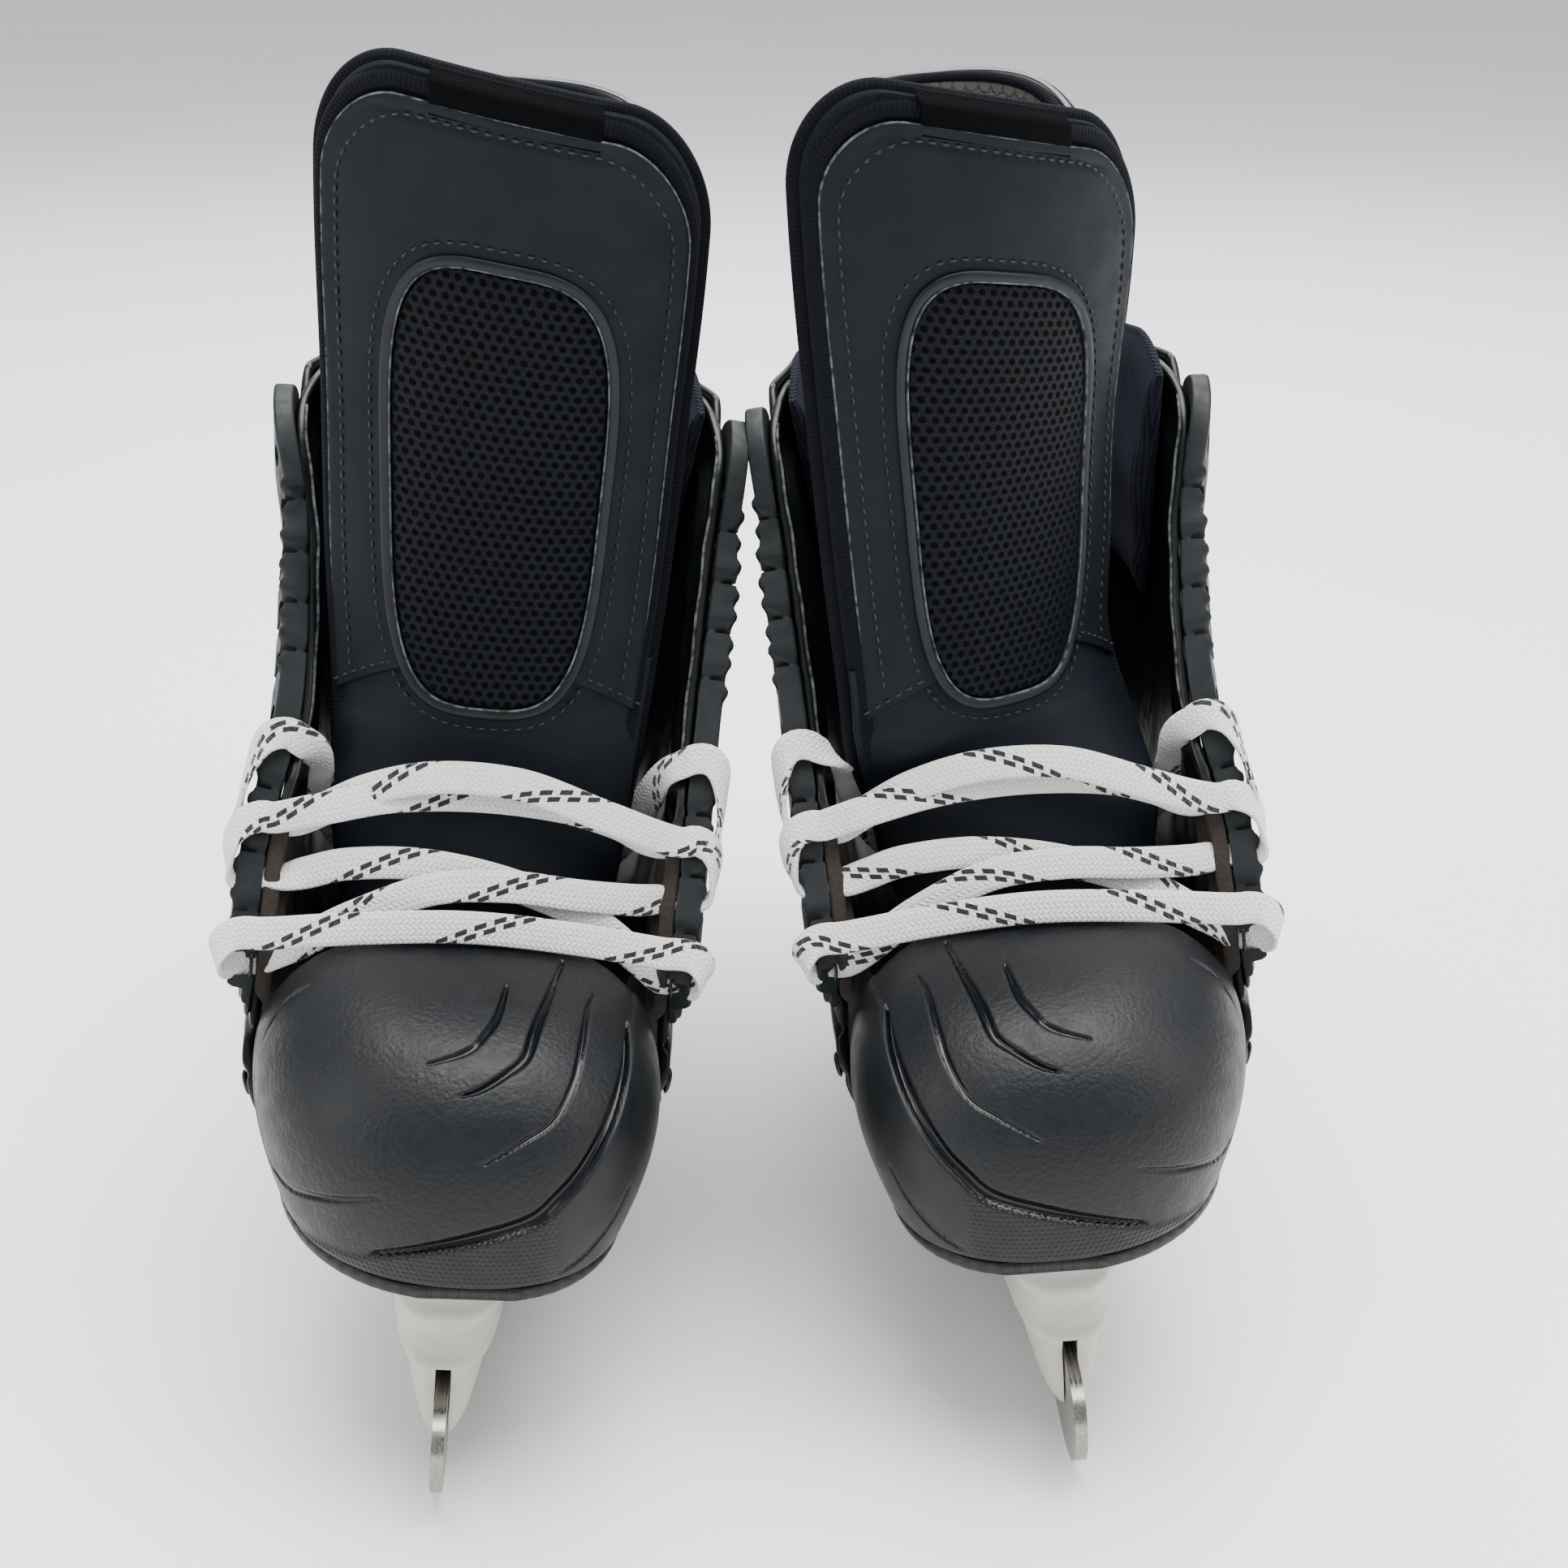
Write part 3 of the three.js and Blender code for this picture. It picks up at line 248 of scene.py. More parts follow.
def cap_point(angle, t, inset=0.0):
    """The toe cap: angle from -90 degrees at the outer rear, through the tip, to 90 at the
    inner rear, and t from the sole (0) to the top of the dome (1)."""
    angle, t = np.broadcast_arrays(np.asarray(angle, float), np.asarray(t, float))
    climb = np.sin(t * np.pi / 2) ** 0.85
    spread = np.cos(t * np.pi / 2).clip(0) ** 0.5
    z = upper_z(TOE_TIP) + (CAP_RISE - inset) * climb
    side = np.sin(angle)
    rear = np.where(side > 0, 40.5, 44.5)
    belly = 10.5 * np.sin(np.minimum(1, climb * 1.15) * np.pi * 0.62)
    half = rear + belly - inset
    forward = np.cos(angle).clip(0) ** 0.82
    reach = cap_rear(z) - TOE_TIP - inset
    x = half * spread * np.sign(side) * np.abs(side) ** 0.86 + 5.5 * forward * spread
    return np.stack([x, cap_rear(z) - reach * forward * spread, z], -1)


TONGUE_LINE = (
    (-73.6, 119.5), (-65, 135), (-56.5, 153), (-51, 178),
    (-50, 207), (-53, 243), (-59, 280), (-67, 319),
)
TONGUE_FOOT = 121.8
TONGUE_TOP = 319.0
TONGUE_HALF = (33, 36, 38, 40, 42, 43, 44, 43.5)
TONGUE_SAG = (17, 15, 13, 12, 12, 13, 13, 13)
TONGUE_CORNER = 18.0
TONGUE_POSE = {
    "right": {"shift": -0.5, "twist": -4, "slant": 7, "drop": 0},
    "left": {"shift": 0.5, "twist": -30, "slant": -14, "drop": 5},
}


def tongue_line(u):
    return smooth([p[0] for p in TONGUE_LINE], u), smooth([p[1] for p in TONGUE_LINE], u)


def tongue_width(u):
    """Half the tongue's width at a share of its length, with its rounded top corners."""
    corner = np.clip((u - 1) * (TONGUE_TOP - TONGUE_FOOT) / TONGUE_CORNER + 1, 0, 1)
    return smooth(TONGUE_HALF, u) - TONGUE_CORNER * (1 - np.sqrt(1 - corner**2))


def tongue_point(u, w, depth, pose):
    """u runs up the tongue, w from -1 at its outer edge to 1 at its inner one, and depth goes
    out of the face."""
    u, w = np.broadcast_arrays(np.asarray(u, float), np.asarray(w, float))
    e = 0.01
    y1, z1 = tongue_line(u + e)
    y0, z0 = tongue_line(u - e)
    out = unit(np.stack([0 * u, -(z1 - z0), y1 - y0], -1))
    x = tongue_width(u) * w
    y, z = tongue_line(u)
    sag = smooth(TONGUE_SAG, u) * (x / smooth(TONGUE_HALF, u)) ** 2
    yaw = math.radians(pose["twist"]) * step(u, 0.16, SEAM + 0.02) * (1 - 0.2 * step(u, 0.6, 1))
    slant = math.tan(math.radians(pose["slant"])) * step(u, SEAM, 1)
    p = np.stack([x * np.cos(yaw) - sag * np.sin(yaw), y + x * np.sin(yaw) + sag * np.cos(yaw), z], -1)
    turned = np.stack([-out[..., 1] * np.sin(yaw), out[..., 1] * np.cos(yaw), out[..., 2]], -1)
    p = p + turned * np.asarray(depth)[..., None]
    p[..., 0] += pose["shift"] * step(u, 0, 1)
    p[..., 2] -= x * slant + pose["drop"] * step(u, SEAM, 1)
    return p


# ==== Where each skate is ===================================================================

class Skate:
    """One skate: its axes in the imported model, read from its joints, and its bodies."""

    def __init__(self, side):
        self.side = side
        self.pose = TONGUE_POSE[side]
        self.mirror = 1 if side == "right" else -1
        joints = {j["name"]: j for j in frame["joints"]}
        hook = np.array(joints[f"{side}_runner_release"]["pos_m"])
        pin = np.array(joints[f"{side}_trigger_pull"]["pos_m"])
        across = np.array(joints[f"{side}_trigger_pull"]["axis"])
        across = across / np.linalg.norm(across)
        self.ex = across if across[0] * self.mirror > 0 else -across
        back = unit(pin - hook)
        rise = unit(np.cross(self.ex, back))
        rise = rise if rise[2] > 0 else -rise
        tilt = math.atan2(15, 162)  # the trigger's pin is 162 behind the hook's and 15 above it
        self.ey = math.cos(tilt) * back - math.sin(tilt) * rise
        self.ez = math.sin(tilt) * back + math.cos(tilt) * rise
        self.origin = hook - (-92 * self.ey + 37 * self.ez) / 1000

    def world(self, points):
        """Millimetres in the skate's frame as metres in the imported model."""
        p = np.asarray(points, float) / 1000
        return self.origin + p[..., :1] * self.ex + p[..., 1:2] * self.ey + p[..., 2:3] * self.ez

    def body(self, name):
        return f"{self.side}_{name}"


# ==== Mesh helpers ==========================================================================

def spaced(length, step_size, radius=0.0, turns=5):
    """Places from 0 to 1 along a length, close together where a rounded edge needs them."""
    if radius <= 0:
        return np.linspace(0, 1, max(2, int(length / step_size) + 1))
    roll = radius * (1 - np.cos(np.linspace(0, math.pi / 2, turns + 1)))
    middle = np.linspace(radius, length - radius, max(3, int((length - 2 * radius) / step_size)))
    return np.concatenate([roll[:-1], middle, length - roll[-2::-1]]) / length


def run(points, axis):
    """Distance gone along a grid's rows or columns."""
    steps = np.linalg.norm(np.diff(points, axis=axis), axis=-1)
    start = np.zeros(steps.shape[:axis] + (1,) + steps.shape[axis + 1 :])
    return np.concatenate([start, np.cumsum(steps, axis=axis)], axis=axis)


def quads(rows, columns, start=0):
    """The faces of a grid of points."""
    i = np.arange((rows - 1) * columns).reshape(rows - 1, columns)[:, :-1].ravel() + start
    return np.stack([i, i + 1, i + 1 + columns, i + columns], -1)


def slab(outer, inner):
    """Two grids of points joined into one closed body, with its surface in metres as UV."""
    rows, columns = outer.shape[:2]
    count = rows * columns
    points = np.concatenate([outer.reshape(-1, 3), inner.reshape(-1, 3)])
    ids = np.arange(count).reshape(rows, columns)
    rim = np.concatenate([ids[0, :-1], ids[:-1, -1], ids[-1, :0:-1], ids[:0:-1, 0]])
    ahead = np.roll(rim, -1)
    walls = np.stack([rim, rim + count, ahead + count, ahead], -1)
    faces = np.concatenate([quads(rows, columns), quads(rows, columns, count)[:, ::-1], walls])
    across, up = run(outer, 1), run(outer, 0)
    across = across - across[:, columns // 2 : columns // 2 + 1]
    uv = np.stack([across, up.mean(1, keepdims=True) + 0 * up], -1).reshape(-1, 2) / 1000
    return points, faces, np.concatenate([uv, uv])


def layer(point, us, vs, outer, inner, radius, rolled="lrbt"):
    """A sheet of material between two depths whose named edges are rolled over: l, r, b and t
    are the first and last columns and the first and last rows."""
    u, v = np.meshgrid(us, vs)
    outer, inner = outer + 0 * u, inner + 0 * u
    half, middle = (outer - inner) / 2, (outer + inner) / 2
    base = point(u, v, middle)
    along_rows, along_columns = run(base, 1), run(base, 0)
    gaps = {
        "l": along_rows, "r": along_rows[:, -1:] - along_rows,
        "b": along_columns, "t": along_columns[-1:] - along_columns,
    }
    edge = np.min([gaps[k] for k in rolled] + [np.full(u.shape, 1e3)], axis=0)
    bend = np.minimum(radius, half)
    k = np.clip(edge / np.maximum(bend, 1e-6), 0, 1)
    fall = bend * (1 - np.sqrt(1 - (1 - k) ** 2))
    return slab(point(u, v, middle + half - fall), point(u, v, middle - half + fall))


def curve_through(points, step_size):
    """A smooth line through points, sampled at an even step."""
    points = np.asarray(points, float)
    t = np.linspace(0, 1, 40 * len(points))
    line = np.stack([smooth(points[:, k], t) for k in range(points.shape[1])], -1)
    gone = run(line, 0)
    even = np.linspace(0, gone[-1], max(3, int(gone[-1] / step_size) + 1))
    return np.stack([np.interp(even, gone, line[:, k]) for k in range(line.shape[1])], -1)


def turned_to(line, normals):
    """Tangents of a line, and the normals made square to them."""
    tangent = unit(np.gradient(line, axis=0))
    flat = normals - (normals * tangent).sum(-1, keepdims=True) * tangent
    return tangent, unit(flat)


def band(line, normals, wide, thick, sides=14, power=0.7, closed=False):
    """A strip or a tube that follows a line. Its UV runs along it and round it, in metres."""
    tangent, up = turned_to(line, normals)
    side = np.cross(tangent, up)
    wide, thick = wide + np.zeros(len(line)), thick + np.zeros(len(line))
    turn = np.linspace(0, 2 * math.pi, sides + 1)
    c = np.sign(np.cos(turn)) * np.abs(np.cos(turn)) ** power
    s = np.sign(np.sin(turn)) * np.abs(np.sin(turn)) ** power
    ring = (
        side[:, None] * (wide[:, None, None] / 2 * c[None, :, None])
        + up[:, None] * (thick[:, None, None] / 2 * s[None, :, None])
    )
    grid = line[:, None] + ring
    if closed:
        grid = np.concatenate([grid, grid[:1]])
    rows = len(grid)
    gone = run(np.concatenate([line, line[:1]]) if closed else line, 0)
    round_it = run(np.stack([c * wide.max() / 2, s * thick.max() / 2], -1), 0)
    uv = np.stack(np.meshgrid(gone, round_it, indexing="ij"), -1).reshape(-1, 2) / 1000
    points, faces = grid.reshape(-1, 3), quads(rows, sides + 1)
    if not closed:
        caps = []
        for row in (0, rows - 1):
            for k in range(1, sides // 2):
                a, b = row * (sides + 1) + k, row * (sides + 1) + sides - k
                caps.append([a - 1, a, b, b + 1 if k > 1 else row * (sides + 1)])
            a = row * (sides + 1) + sides // 2
            caps.append([a - 1, a, a, a + 1])
        faces = np.concatenate([faces, np.array(caps)])
    return points, faces, uv


STITCH_LENGTH = 1.9
THREAD_THICK = 0.55


def stitches(line, normals, pitch):
    """Short threads laid end to end along a line, each dipping into the material at its ends."""
    _, up = turned_to(line, normals)
    gone = run(line, 0)
    parts = []
    for start in np.arange(0.5, gone[-1] - STITCH_LENGTH, pitch):
        at = start + np.linspace(0, STITCH_LENGTH, 6)
        middle, out = (
            np.stack([np.interp(at, gone, values[:, k]) for k in range(3)], -1)
            for values in (line, up))
        arch = np.sin(np.linspace(0, math.pi, 6))
        spine = middle + out * (THREAD_THICK * (arch - 0.55))[:, None]
        fat = THREAD_THICK * (0.45 + 0.55 * arch ** 0.5)
        parts.append(band(spine, out, fat * 1.25, fat, sides=6, power=1))
    return joined(parts)


def joined(parts):
    """Several bodies as one."""
    points, faces, uvs, start = [], [], [], 0
    for p, f, uv in parts:
        points.append(p)
        faces.append(f + start)
        uvs.append(uv)
        start += len(p)
    return np.concatenate(points), np.concatenate(faces), np.concatenate(uvs)


def loft(rings):
    """Closed rings of points joined one after another, with capped ends."""
    grid = np.stack([np.concatenate([r, r[:1]]) for r in rings])
    rows, columns = grid.shape[:2]
    faces = quads(rows, columns)
    ends = np.stack([grid[0].mean(0), grid[-1].mean(0)])
    caps = []
    for k in range(columns - 1):
        caps.append([rows * columns, k + 1, k, k])
        last = (rows - 1) * columns
        caps.append([rows * columns + 1, last + k, last + k + 1, last + k + 1])
    uv = np.stack([run(grid, 1), run(grid, 0)], -1).reshape(-1, 2) / 1000
    points = np.concatenate([grid.reshape(-1, 3), ends])
    return points, np.concatenate([faces, np.array(caps)]), np.concatenate([uv, uv[:1], uv[-1:]])


def make(skate, name, form, material, slot, body="boot", across=None, stands_for=(), sharp=None,
         marks=None):
    """Makes one piece from points, faces and UV. It rides on a body, or with across it is left in place
    without one.
    """
    points, faces, uv = form
    mesh = bpy.data.meshes.new(f"{skate.side}_{name}")
    faces = [[i for k, i in enumerate(f) if i not in f[:k]] for f in faces.tolist()]
    faces = [f for f in faces if len(f) > 2]
    mesh.from_pydata(skate.world(points).tolist(), [], faces)
    corner = np.fromiter((i for f in faces for i in f), int)
    mesh.uv_layers.new(name="UVMap").data.foreach_set("uv", uv[corner].ravel().astype(np.float32))
    for key, values in (marks or {}).items():
        values = np.concatenate([np.ravel(values)] * (len(points) // np.size(values)))
        mesh.attributes.new(key, "FLOAT", "POINT").data.foreach_set("value", values.astype(np.float32))
    tidy = bmesh.new()
    tidy.from_mesh(mesh)
    bmesh.ops.remove_doubles(tidy, verts=tidy.verts, dist=2e-6)
    bmesh.ops.dissolve_degenerate(tidy, edges=tidy.edges, dist=1e-7)
    bmesh.ops.recalc_face_normals(tidy, faces=tidy.faces)
    for face in tidy.faces:
        face.smooth = True
    tidy.to_mesh(mesh)
    tidy.free()
    if sharp:
        mesh.set_sharp_from_angle(angle=math.radians(sharp))
    piece = bpy.data.objects.new(f"{skate.side}_{name}", mesh)
    bpy.context.scene.collection.objects.link(piece)
    mesh.materials.append(materials()[material])
    if across:
        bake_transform(piece)
    else:
        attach(piece, skate.body(body))
    if stands_for:
        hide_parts(*[skate.body(node) for node in stands_for])
    return piece


def settled(piece, *modifiers):
    """Applies modifiers, each given as its type and settings, to a piece's mesh."""
    for kind, settings in modifiers:
        modifier = piece.modifiers.new(kind.title(), kind)
        for key, value in settings.items():
            setattr(modifier, key, value)
    graph = bpy.context.evaluated_depsgraph_get()
    mesh = bpy.data.meshes.new_from_object(piece.evaluated_get(graph))
    piece.modifiers.clear()
    old, piece.data = piece.data, mesh
    bpy.data.meshes.remove(old)
    return piece


# ==== Materials =============================================================================

def add(tree, kind, inputs=(), **settings):
    """Adds one shader node with its settings, and its inputs set or linked."""
    made = tree.nodes.new("ShaderNode" + kind)
    for key, value in settings.items():
        setattr(made, key, value)
    for key, value in dict(inputs).items():
        if isinstance(value, bpy.types.NodeSocket):
            tree.links.new(value, made.inputs[key])
        else:
            made.inputs[key].default_value = value
    return made


def finish_of(name, colour, roughness, **sockets):
    """A new material with its constant values on the shader's own sockets."""
    material = bpy.data.materials.new(name)
    material.use_nodes = True
    tree = material.node_tree
    tree.nodes.clear()
    shader = add(tree, "BsdfPrincipled", {"Roughness": roughness})
    shader.inputs["Base Color"].default_value = (*colour, 1)
    for key, value in sockets.items():
        socket = shader.inputs[key.replace("_", " ")]
        socket.default_value = (*value, 1) if socket.type == "RGBA" else value
    add(tree, "OutputMaterial", {"Surface": shader.outputs[0]})
    return material, tree, shader


def shades(colour, *shares):
    """The same colour made darker or lighter by each share."""
    return [tuple(share * c for c in colour) for share in shares]


def tone(tree, shader, where, low, high, low_colour, high_colour):
    """Runs the base colour between two tones where a pattern goes from low to high."""
    ramp = add(tree, "ValToRGB", {"Fac": where})
    for stop, place, colour in zip(ramp.color_ramp.elements, (low, high), (low_colour, high_colour)):
        stop.position, stop.color = place, (*colour, 1)
    tree.links.new(ramp.outputs[0], shader.inputs["Base Color"])


def relief(tree, shader, *layers):
    """Stacks bumps, each given as a height, its depth in millimetres and its strength."""
    below_it = None
    for height, depth, strength in layers:
        inputs = {"Height": height, "Distance": depth / 1000, "Strength": strength}
        if below_it:
            inputs["Normal"] = below_it
        below_it = add(tree, "Bump", inputs).outputs[0]
    tree.links.new(below_it, shader.inputs["Normal"])


def maths(tree, operation, *values, **settings):
    """The output of a Math node on up to three values."""
    return add(tree, "Math", dict(enumerate(values)), operation=operation, **settings).outputs[0]


def times(tree, *values):
    return maths(tree, "MULTIPLY", *values)


def fitted(tree, value, scale, start, **settings):
    """A value scaled and then moved by a start."""
    return maths(tree, "MULTIPLY_ADD", value, scale, start, **settings)


def mark(tree, name):
    """A value painted on the mesh's own points."""
    return add(tree, "Attribute", attribute_name=name).outputs["Fac"]


def here(tree):
    return add(tree, "TexCoord").outputs["Object"]


def cut(tree):
    return add(tree, "TexCoord").outputs["UV"]


def noise(tree, where, scale, detail, **more):
    inputs = {"Vector": where, "Scale": scale, "Detail": detail, **more}
    return add(tree, "TexNoise", inputs).outputs["Fac"]


def spots(tree, where, size, detail=2.0, **more):
    """Soft random blotches of a size in millimetres."""
    return noise(tree, where, 1000 / size, detail, **more)


def cells(tree, where, size, feature="F1"):
    """Random cells of a size in millimetres."""
    made = add(tree, "TexVoronoi", {"Vector": where, "Scale": 1000 / size}, feature=feature)
    return made.outputs["Distance"]


def limits(tree, value, low, high, to_low=0.0, to_high=1.0):
    inputs = {"Value": value, "From Min": low, "From Max": high, "To Min": to_low, "To Max": to_high}
    return add(tree, "MapRange", inputs, interpolation_type="SMOOTHSTEP").outputs[0]


def roughen(tree, shader, where, low, high, to_low, to_high):
    """Runs the roughness between two values where a pattern goes from low to high."""
    rough = limits(tree, where, low, high, to_low, to_high)
    tree.links.new(rough, shader.inputs["Roughness"])


def hexagons(tree, where, pitch):
    """Distance in metres from the nearest point of a hexagonal lattice laid on the UV."""
    cell = (pitch, pitch * math.sqrt(3), 1)
    found = []
    for shift in (0.0, 0.5):
        share = add(tree, "VectorMath", {0: where, 1: cell}, operation="DIVIDE").outputs[0]
        moved = add(tree, "VectorMath", {0: share, 1: (shift, shift, 0)}, operation="ADD").outputs[0]
        part = add(tree, "VectorMath", {0: moved}, operation="FRACTION").outputs[0]
        centred = add(tree, "VectorMath", {0: part, 1: (0.5, 0.5, 0)}, operation="SUBTRACT").outputs[0]
        sized = {0: centred, 1: (cell[0], cell[1], 0)}
        flat = add(tree, "VectorMath", sized, operation="MULTIPLY").outputs[0]
        found.append(add(tree, "VectorMath", {0: flat}, operation="LENGTH").outputs["Value"])
    return maths(tree, "MINIMUM", *found)


def waves(tree, value, pitch):
    """A sine of a length in metres, from 0 to 1, with a pitch in metres."""
    turn = fitted(tree, value, 2 * math.pi / pitch, 0.0)
    return fitted(tree, maths(tree, "SINE", turn), 0.5, 0.5)


def weave(tree, where, warp, weft):
    """A plain weave's height: threads over and under each other at two spacings in metres."""
    flat = add(tree, "SeparateXYZ", {0: where})
    across = maths(tree, "SINE", times(tree, flat.outputs[0], math.pi / warp))
    along_it = maths(tree, "SINE", times(tree, flat.outputs[1], math.pi / weft))
    return fitted(tree, times(tree, across, along_it), 0.5, 0.5)


def coated_microfibre(colours):
    """Polyurethane-coated microfibre: a matt, faintly soft black-blue with a very fine grain."""
    dark, light = shades(colours.tongue, 0.86, 1.16)
    material, tree, shader = finish_of(
        "coated_microfibre", tuple(colours.tongue), 0.52, Specular_IOR_Level=0.12, Sheen_Weight=0.03,
        Sheen_Roughness=0.45, Sheen_Tint=linear("#8f9aa8"))
    place = here(tree)
    tone(tree, shader, spots(tree, place, 34, 3), 0.3, 0.7, dark, light)
    grain = cells(tree, place, 0.75)
    roughen(tree, shader, spots(tree, place, 9, 3), 0.3, 0.7, 0.47, 0.58)
    # The pore grain is drawn a little coarser than the real quarter of a millimetre to show.
    relief(tree, shader, (spots(tree, place, 6, 2), 0.25, 0.18), (grain, 0.08, 0.35),
           (spots(tree, place, 0.28, 2), 0.05, 0.4))
    return material


def leather_piping(colours):
    """The same microfibre folded round a cord: slightly glossier where the fold is tight."""
    material, tree, shader = finish_of(
        "microfibre_piping", linear("#0b0e12"), 0.42, Specular_IOR_Level=0.25)
    place = here(tree)
    tone(tree, shader, spots(tree, place, 5, 3), 0.35, 0.7, linear("#080a0d"), linear("#11161a"))
    relief(tree, shader, (cells(tree, place, 0.8), 0.07, 0.4))
    return material


def cut_edge(colours):
    """The raw edge of the microfibre, where its paler grey backing shows as a thin line."""
    material, tree, shader = finish_of(
        "microfibre_cut_edge", linear("#4a4f52"), 0.85, Specular_IOR_Level=0.2)
    place = here(tree)
    tone(tree, shader, spots(tree, place, 2.2, 4), 0.35, 0.68, linear("#1c2023"), linear("#62676a"))
    relief(tree, shader, (spots(tree, place, 0.3, 3), 0.1, 0.7))
    return material


def spacer_mesh(colours, sizes):
    """Warp-knitted polyester spacer mesh: round holes in a hexagonal net of looped yarn, so it
    reads as black dots in a slightly glinting net."""
    material, tree, shader = finish_of(
        "knitted_spacer_mesh", linear("#07090c"), 0.6, Specular_IOR_Level=0.1, Sheen_Weight=0.01,
        Sheen_Roughness=0.4, Sheen_Tint=linear("#6e7780"))
    place = cut(tree)
    wander = add(tree, "TexNoise", {"Vector": place, "Scale": 160.0, "Detail": 1.0}).outputs["Color"]
    shift = add(tree, "VectorMath", {0: wander, 1: (0.5, 0.5, 0.5)}, operation="SUBTRACT").outputs[0]
    small = add(tree, "VectorMath", {0: shift, "Scale": 0.0007}, operation="SCALE").outputs[0]
    moved = add(tree, "VectorMath", {0: place, 1: small}, operation="ADD").outputs[0]
    pitch = sizes.hole_pitch
    hole = limits(tree, hexagons(tree, moved, pitch), 0.22 * pitch, 0.36 * pitch)
    yarn = cells(tree, here(tree), 0.55)
    # The holes are painted near black. This is painted shade inside them, over the mesh's dark lower layer,
    # and the yarn cells vary the net's tone at random.
    lit = times(tree, hole, limits(tree, yarn, 0.1, 0.8, 1.0, 0.35))
    tone(tree, shader, lit, 0.05, 0.95, linear("#000001"), linear("#0d1218"))
    roughen(tree, shader, hole, 0, 1, 0.95, 0.5)
    relief(tree, shader, (hole, 0.7, 0.9), (yarn, 0.22, 0.7))
    return material


def knit_binding(colours):
    """Ribbed polyester knit wrapped round felt: dull navy black with fine ribs and a soft bloom."""
    dark, light = shades(colours.binding, 0.7, 1.5)
    material, tree, shader = finish_of(
        "ribbed_knit_binding", tuple(colours.binding), 0.9, Specular_IOR_Level=0.12, Sheen_Weight=0.05,
        Sheen_Roughness=0.5, Sheen_Tint=linear("#7a7f8c"))
    flat = add(tree, "SeparateXYZ", {0: cut(tree)})
    ribs = waves(tree, flat.outputs[0], 0.0011)
    loops = waves(tree, flat.outputs[1], 0.0009)
    knit = times(tree, ribs, fitted(tree, loops, 0.4, 0.6))
    place = here(tree)
    # Besides random tone, the colour follows the knit's relief: the ribs' tops are painted lighter and
    # their hollows darker, as painted highlight and painted shade.
    mixed = fitted(tree, spots(tree, place, 8, 4), 0.6, times(tree, knit, 0.5))
    tone(tree, shader, mixed, 0.25, 0.8, dark, light)
    relief(tree, shader, (knit, 0.28, 0.7), (spots(tree, place, 0.35, 2), 0.1, 0.5))
    return material


def felt_core(colours):
    """Needled polyester felt: a dense dull nap of short crossed fibres."""
    material, tree, shader = finish_of(
        "needled_felt", linear("#0c0e12"), 0.97, Specular_IOR_Level=0.1, Sheen_Weight=0.08,
        Sheen_Roughness=0.6, Sheen_Tint=linear("#7c8088"))
    place = here(tree)
    fibres = noise(tree, place, 1500.0, 6.0, Distortion=1.6)
    tone(tree, shader, fibres, 0.35, 0.7, linear("#07080b"), linear("#15181e"))
    relief(tree, shader, (fibres, 0.35, 0.8))
    return material


def thread(colours):
    """Bonded polyester thread: twisted, slightly shiny, a shade lighter than what it sews."""
    material, tree, shader = finish_of("bonded_thread", linear("#12161a"), 0.5, Sheen_Weight=0.03)
    flat = add(tree, "SeparateXYZ", {0: cut(tree)})
    twist = waves(tree, maths(tree, "ADD", flat.outputs[0], flat.outputs[1]), 0.0006)
    # The colour follows the twist: the grooves between its plies are painted darker, as painted shade.
    tone(tree, shader, twist, 0.1, 0.9, linear("#050608"), linear("#171b1f"))
    relief(tree, shader, (twist, 0.12, 0.8))
    return material


def grained_cap(colours):
    """Injection-moulded ABS with an etched leather grain: half matt, with polished grooves where
    the tool was left smooth."""
    dark, light = shades(colours.cap, 0.82, 1.25)
    material, tree, shader = finish_of(
        "moulded_abs_leather_grain", tuple(colours.cap), 0.45, IOR=1.5, Specular_IOR_Level=0.3)
    place = here(tree)
    polished = mark(tree, "polished")
    ribbed = mark(tree, "ribbed")
    hexed = mark(tree, "hexed")
    away = mark(tree, "away")
    plain = maths(tree, "SUBTRACT", 1.0, polished, use_clamp=True)
    wear = spots(tree, place, 20, 5)
    # Random wear tone, halved in the recessed polished grooves so that they are painted darker: painted
    # shade in the grooves.
    wear_and_groove_shade = times(tree, wear, fitted(tree, plain, 0.5, 0.5))
    tone(tree, shader, wear_and_groove_shade, 0.25, 0.7, dark, light)
    rough = limits(tree, spots(tree, place, 5, 3), 0.3, 0.7, 0.4, 0.5)
    gap = fitted(tree, polished, -0.28, rough)
    tree.links.new(gap, shader.inputs["Roughness"])
    wrinkle = cells(tree, place, 1.15, "SMOOTH_F1")
    folds = noise(tree, place, 1000 / 0.8, 3.0, Distortion=0.9)
    zoned = maths(tree, "ADD", ribbed, hexed, use_clamp=True)
    grain_here = times(tree, plain, maths(tree, "SUBTRACT", 1.0, zoned))
    grain = times(tree, maths(tree, "ADD", wrinkle, folds), grain_here)
    ribs = times(tree, waves(tree, away, 1.15), times(tree, ribbed, plain))
    # Drawn at 1.5 mm, a little coarser than the moulded 1.1 mm, so that it shows.
    studs = limits(tree, hexagons(tree, cut(tree), 0.0015), 0.0003, 0.00065, 1.0, 0.0)
    studs = times(tree, studs, times(tree, hexed, plain))
    relief(tree, shader, (grain, 0.16, 0.75), (ribs, 0.35, 0.8), (studs, 0.25, 0.8))
    return material


